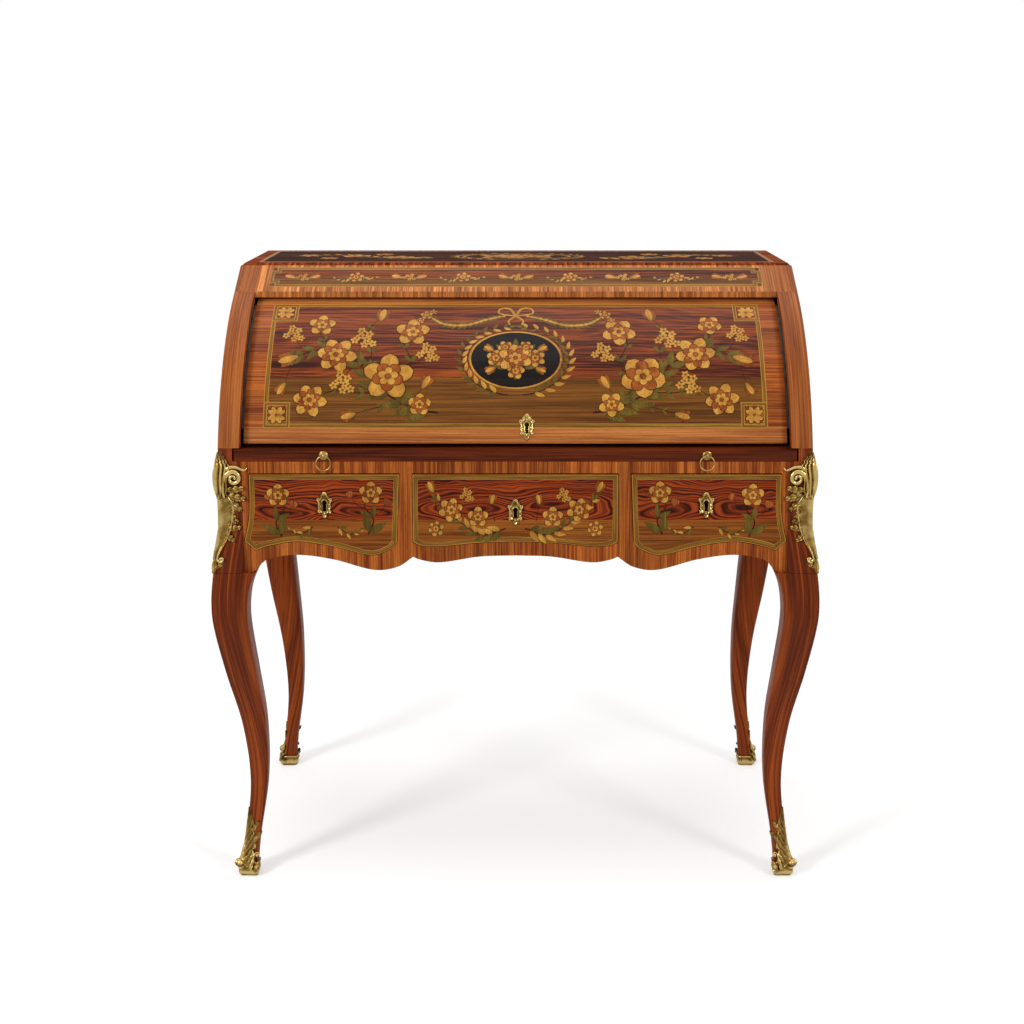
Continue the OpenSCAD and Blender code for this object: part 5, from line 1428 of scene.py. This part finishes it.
def dressStiles():
    # The curved fronts of the case sides, veneered along the curve in one strip 34 mm wide on each side,
    # from the lower case up to the frieze.
    looks = dict(leaf=0.018, tone=0.14, streak=420.0, contrast=1.0)
    wood = plainWood("stileWood", "stileTulip", "yxz", True, **looks)
    a = np.radians(np.linspace(desk["edgeStart"] + 0.02, desk["edgeEnd"], 60))
    r = desk["edgeRadius"] + 0.00012
    curve, run = cylinderPoint(0, r, a)[:, 1:], (a - a[0]) * r
    rest = np.linspace(0.004, 1, 8)[:, None] * (np.array([desk["friezeY"], desk["friezeZ"]]) - curve[-1])
    curve = np.concatenate([curve, curve[-1] + rest])
    run = np.concatenate([run, run[-1] + np.linalg.norm(rest, axis=1)])
    for name, side in sides:
        x = side * np.array([0.4552, 0.462, 0.472, 0.482, 0.4893])
        uv = np.stack(np.broadcast_arrays(x, run[:, None]), -1)
        p = spot(x, curve[:, :1], curve[:, 1:])
        piece("stileFacing" + name, [shell(p, uv, flip=side < 0)], wood, "case")


def panel(edges, place, flip=False):
    # A veneered field inside an outline, and the framing round it.
    fieldLift, bandLift, width = 0.00008, 0.00014, 0.0068
    loop = np.concatenate([e[:-1] for e in edges])
    return lid(place(loop, fieldLift), loop, flip=flip), framing(edges, place, bandLift, width)


sidePanel = dict(lower=(-0.190, 0.606, 0.190, 0.738), base=0.7925, radius=0.337, middle=0.052, stem=0.00018,
                 flower=0.00028, heart=0.00030,
                 upperSpray=[(0.004, 0.832), (0.046, 0.838), (0.070, 0.876), (0.100, 0.896)],
                 lowerSpray=[(0.012, 0.660), (0.060, 0.648), (0.110, 0.672), (0.150, 0.668)])


def dressSides():
    # Each side: above, a panel whose border follows the desk's outline; below, one over the arched apron.
    # Both have a dark ground, a band and a spray; the photograph doesn't show them, so they follow the front.
    wood = plainWood("sideGround", "rosewood", "yzx", contrast=2.0)
    base, back, top, crest = sidePanel["base"], 0.226, 1.0, -0.009
    curve = cylinderPoint(0, sidePanel["radius"], np.radians(np.linspace(56, 20, 30)))[:, 1:]
    upper = [straight((-0.218, base), (back, base)), straight((back, base), (back, top)),
             straight((back, top), (crest, top)), straight((crest, top), curve[0]), curve]
    curve[-1, 1] = base
    upper[0][0] = curve[-1]
    middle, stemUp, flowerUp, heartUp = (sidePanel[k] for k in ("middle", "stem", "flower", "heart"))
    for name, sign in sides:
        place = onSide(sign)
        outlines = (upper, rectangle(*sidePanel["lower"]))
        fields, bands = zip(*(panel(edges, place, sign < 0) for edges in outlines))
        flowers = []
        for hand in (-1, 1):
            path = sweep(handed(sidePanel["upperSpray"], hand, middle), 50)
            flowers += branch(path, place, stemUp, 0.027, 10, taper=0.6)
            flowers += blossom((middle + hand * 0.062, 0.868), 0.048, place, flowerUp, turn=0.4)
            flowers += tulip((middle + hand * 0.102, 0.898), 0.024, place, flowerUp, 90 - hand * 62)
            path = sweep(handed(sidePanel["lowerSpray"], hand), 40)
            flowers += branch(path, place, stemUp, 0.024, 9, taper=0.6)
            flowers += blossom((hand * 0.088, 0.668), 0.036, place, flowerUp, 6, 0.2)
        flowers += blossom((middle, 0.860), 0.070, place, heartUp)
        flowers += sprig((middle, 0.892), 0.062, place, stemUp)
        flowers += blossom((0.0, 0.672), 0.052, place, heartUp)
        piece("sidePanel" + name, list(fields), wood)
        piece("sideBanding" + name, sum(bands, []), bandWoods)
        piece("sideInlay" + name, flowers, inlayWoods)


def dressBack():
    # The back isn't shown either: two plain framed panels.
    boxes = ((-0.440, 0.792, 0.440, 0.996), (-0.420, 0.612, 0.420, 0.736))
    fields, bands = zip(*(panel(rectangle(*box), onBack) for box in boxes))
    piece("backPanels", list(fields), plainWood("backGround", "rosewood", "xzy"))
    piece("backBanding", sum(bands, []), bandWoods)


tooling = dict(frame=(-0.414, -0.213, 0.414, 0.181), lines=((0.007, 0.0080), (0.021, 0.0218)), chain=0.0145,
               step=0.012, flowerX=0.388, flowerY=(-0.187, 0.155), lift=0.00008)


def dressSlide():
    # The leather's gold tooling: two lines, a chain of leaves between them and a flower in each corner.
    edges, lift = rectangle(*tooling["frame"]), tooling["lift"]
    shells = sum((band(edges, *line, onSlide, lift) for line in tooling["lines"]), [])
    for edge in insetEdges(edges, tooling["chain"]):
        way = edge[-1] - edge[0]
        at = edge[0] + np.linspace(0.02, 0.98, int(np.linalg.norm(way) / tooling["step"]))[:, None] * way
        w = np.arctan2(way[1], way[0]) + np.where(np.arange(len(at)) % 2, 0.6, -0.6)
        shells += cutShapes(leafOutline, at, w, 0.0105, 0.0042, onSlide, lift)
    for x in (-tooling["flowerX"], tooling["flowerX"]):
        for y in tooling["flowerY"]:
            shells += cutShapes(petalOutline, (x, y), steps(6), 0.008, 0.005, onSlide, lift)
    piece("slideTooling", shells, giltShader("goldTooling", False), "slide")


dressFrieze()
dressTop()
dressStiles()
dressSides()
dressBack()
dressSlide()
print("frieze, top, stiles, sides, back and slide dressed")

# Floor, light and camera

studio = dict(radius=3.0, fadeFrom=0.75, fadeTo=1.9, floorGrey=0.90, lift=0.37, around=0.42, mirrored=0.60,
              lens=54.82, shiftX=-0.0156, shiftY=-0.147, cameraAt=(0.0209, -2.7729, 1.3009), tilt=81)
# Each light's place and aim, its width and height in metres and its power.
lights = dict(softLeft=((-2.6, -2.6, 2.3), (0, 0, 0.6), 0.8, 1.2, 58.0),
              softRight=((2.6, -2.6, 2.3), (0, 0, 0.6), 0.8, 1.2, 32.0),
              softTop=((0, 0.2, 3.4), (0, 0, 0.5), 2.6, 2.6, 40.0))


def makeFloor():
    # A round flat floor: rings of points about the desk. It fades out by distance into the white beyond,
    # and what the camera sees of it is lifted to white, so that only the desk's soft shadows show.
    r = np.array([0.001, 0.5, 1.0, 2.0, studio["radius"]])[:, None, None]
    p = r * onCircle(steps(96))
    disk = shell(spot(p[..., 0], p[..., 1], -0.0006), closed=True)
    mesh = bpy.data.meshes.new("studioFloor")
    mesh.from_pydata(disk["points"].tolist(), [], disk["faces"])
    m, bsdf, at = newMaterial("paleFloor")
    far = addNode(m.node_tree, "VectorMath", {0: at["Object"]}, operation="LENGTH").outputs["Value"]
    seen = addNode(m.node_tree, "LightPath").outputs["Is Camera Ray"]
    spread, g = studio["fadeTo"] - studio["fadeFrom"], studio["floorGrey"]
    feed(bsdf, {"Alpha": fit(far, -1 / spread, studio["fadeTo"] / spread, True), "Base Color": (g, g, g, 1),
                "Roughness": 0.9, "Specular IOR Level": 0.1, "Emission Color": (1, 1, 1, 1),
                "Emission Strength": times(seen, studio["lift"])})
    mesh.materials.append(m)
    obj = bpy.data.objects.new("studioFloor", mesh)
    bpy.context.scene.collection.objects.link(obj)


def areaLight(name, place, aim, width, height, power):
    data = bpy.data.lights.new(name, "AREA")
    data.shape, data.size, data.size_y, data.energy = "RECTANGLE", width, height, power
    obj = bpy.data.objects.new(name, data)
    obj.location = place
    obj.rotation_euler = (Vector(aim) - Vector(place)).to_track_quat("-Z", "Y").to_euler()
    bpy.context.scene.collection.objects.link(obj)


def makeWorld():
    # White to the camera, and dimmer as the light around the desk and in what it mirrors.
    world = bpy.data.worlds.new("studio")
    bpy.context.scene.world = world
    world.use_nodes = True
    around = studio["around"]
    rays = addNode(world.node_tree, "LightPath").outputs
    mirrored = times(rays["Is Glossy Ray"], studio["mirrored"] - around)
    shown = fit(rays["Is Camera Ray"], 1.0 - around, mirrored)
    feed(world.node_tree.nodes["Background"], {"Strength": plus(shown, around), "Color": (1, 1, 1, 1)})


def makeCamera():
    data = bpy.data.cameras.new("camera")
    data.lens, data.shift_x, data.shift_y = studio["lens"], studio["shiftX"], studio["shiftY"]
    camera = bpy.data.objects.new("camera", data)
    camera.location = studio["cameraAt"]
    camera.rotation_euler = (np.radians(studio["tilt"]), 0, 0)
    bpy.context.scene.collection.objects.link(camera)
    bpy.context.scene.camera = camera
    bpy.context.scene.view_settings.view_transform = "Standard"


makeFloor()
for name, look in lights.items():
    areaLight(name, *look)
makeWorld()
makeCamera()
print("floor, lights and camera set")
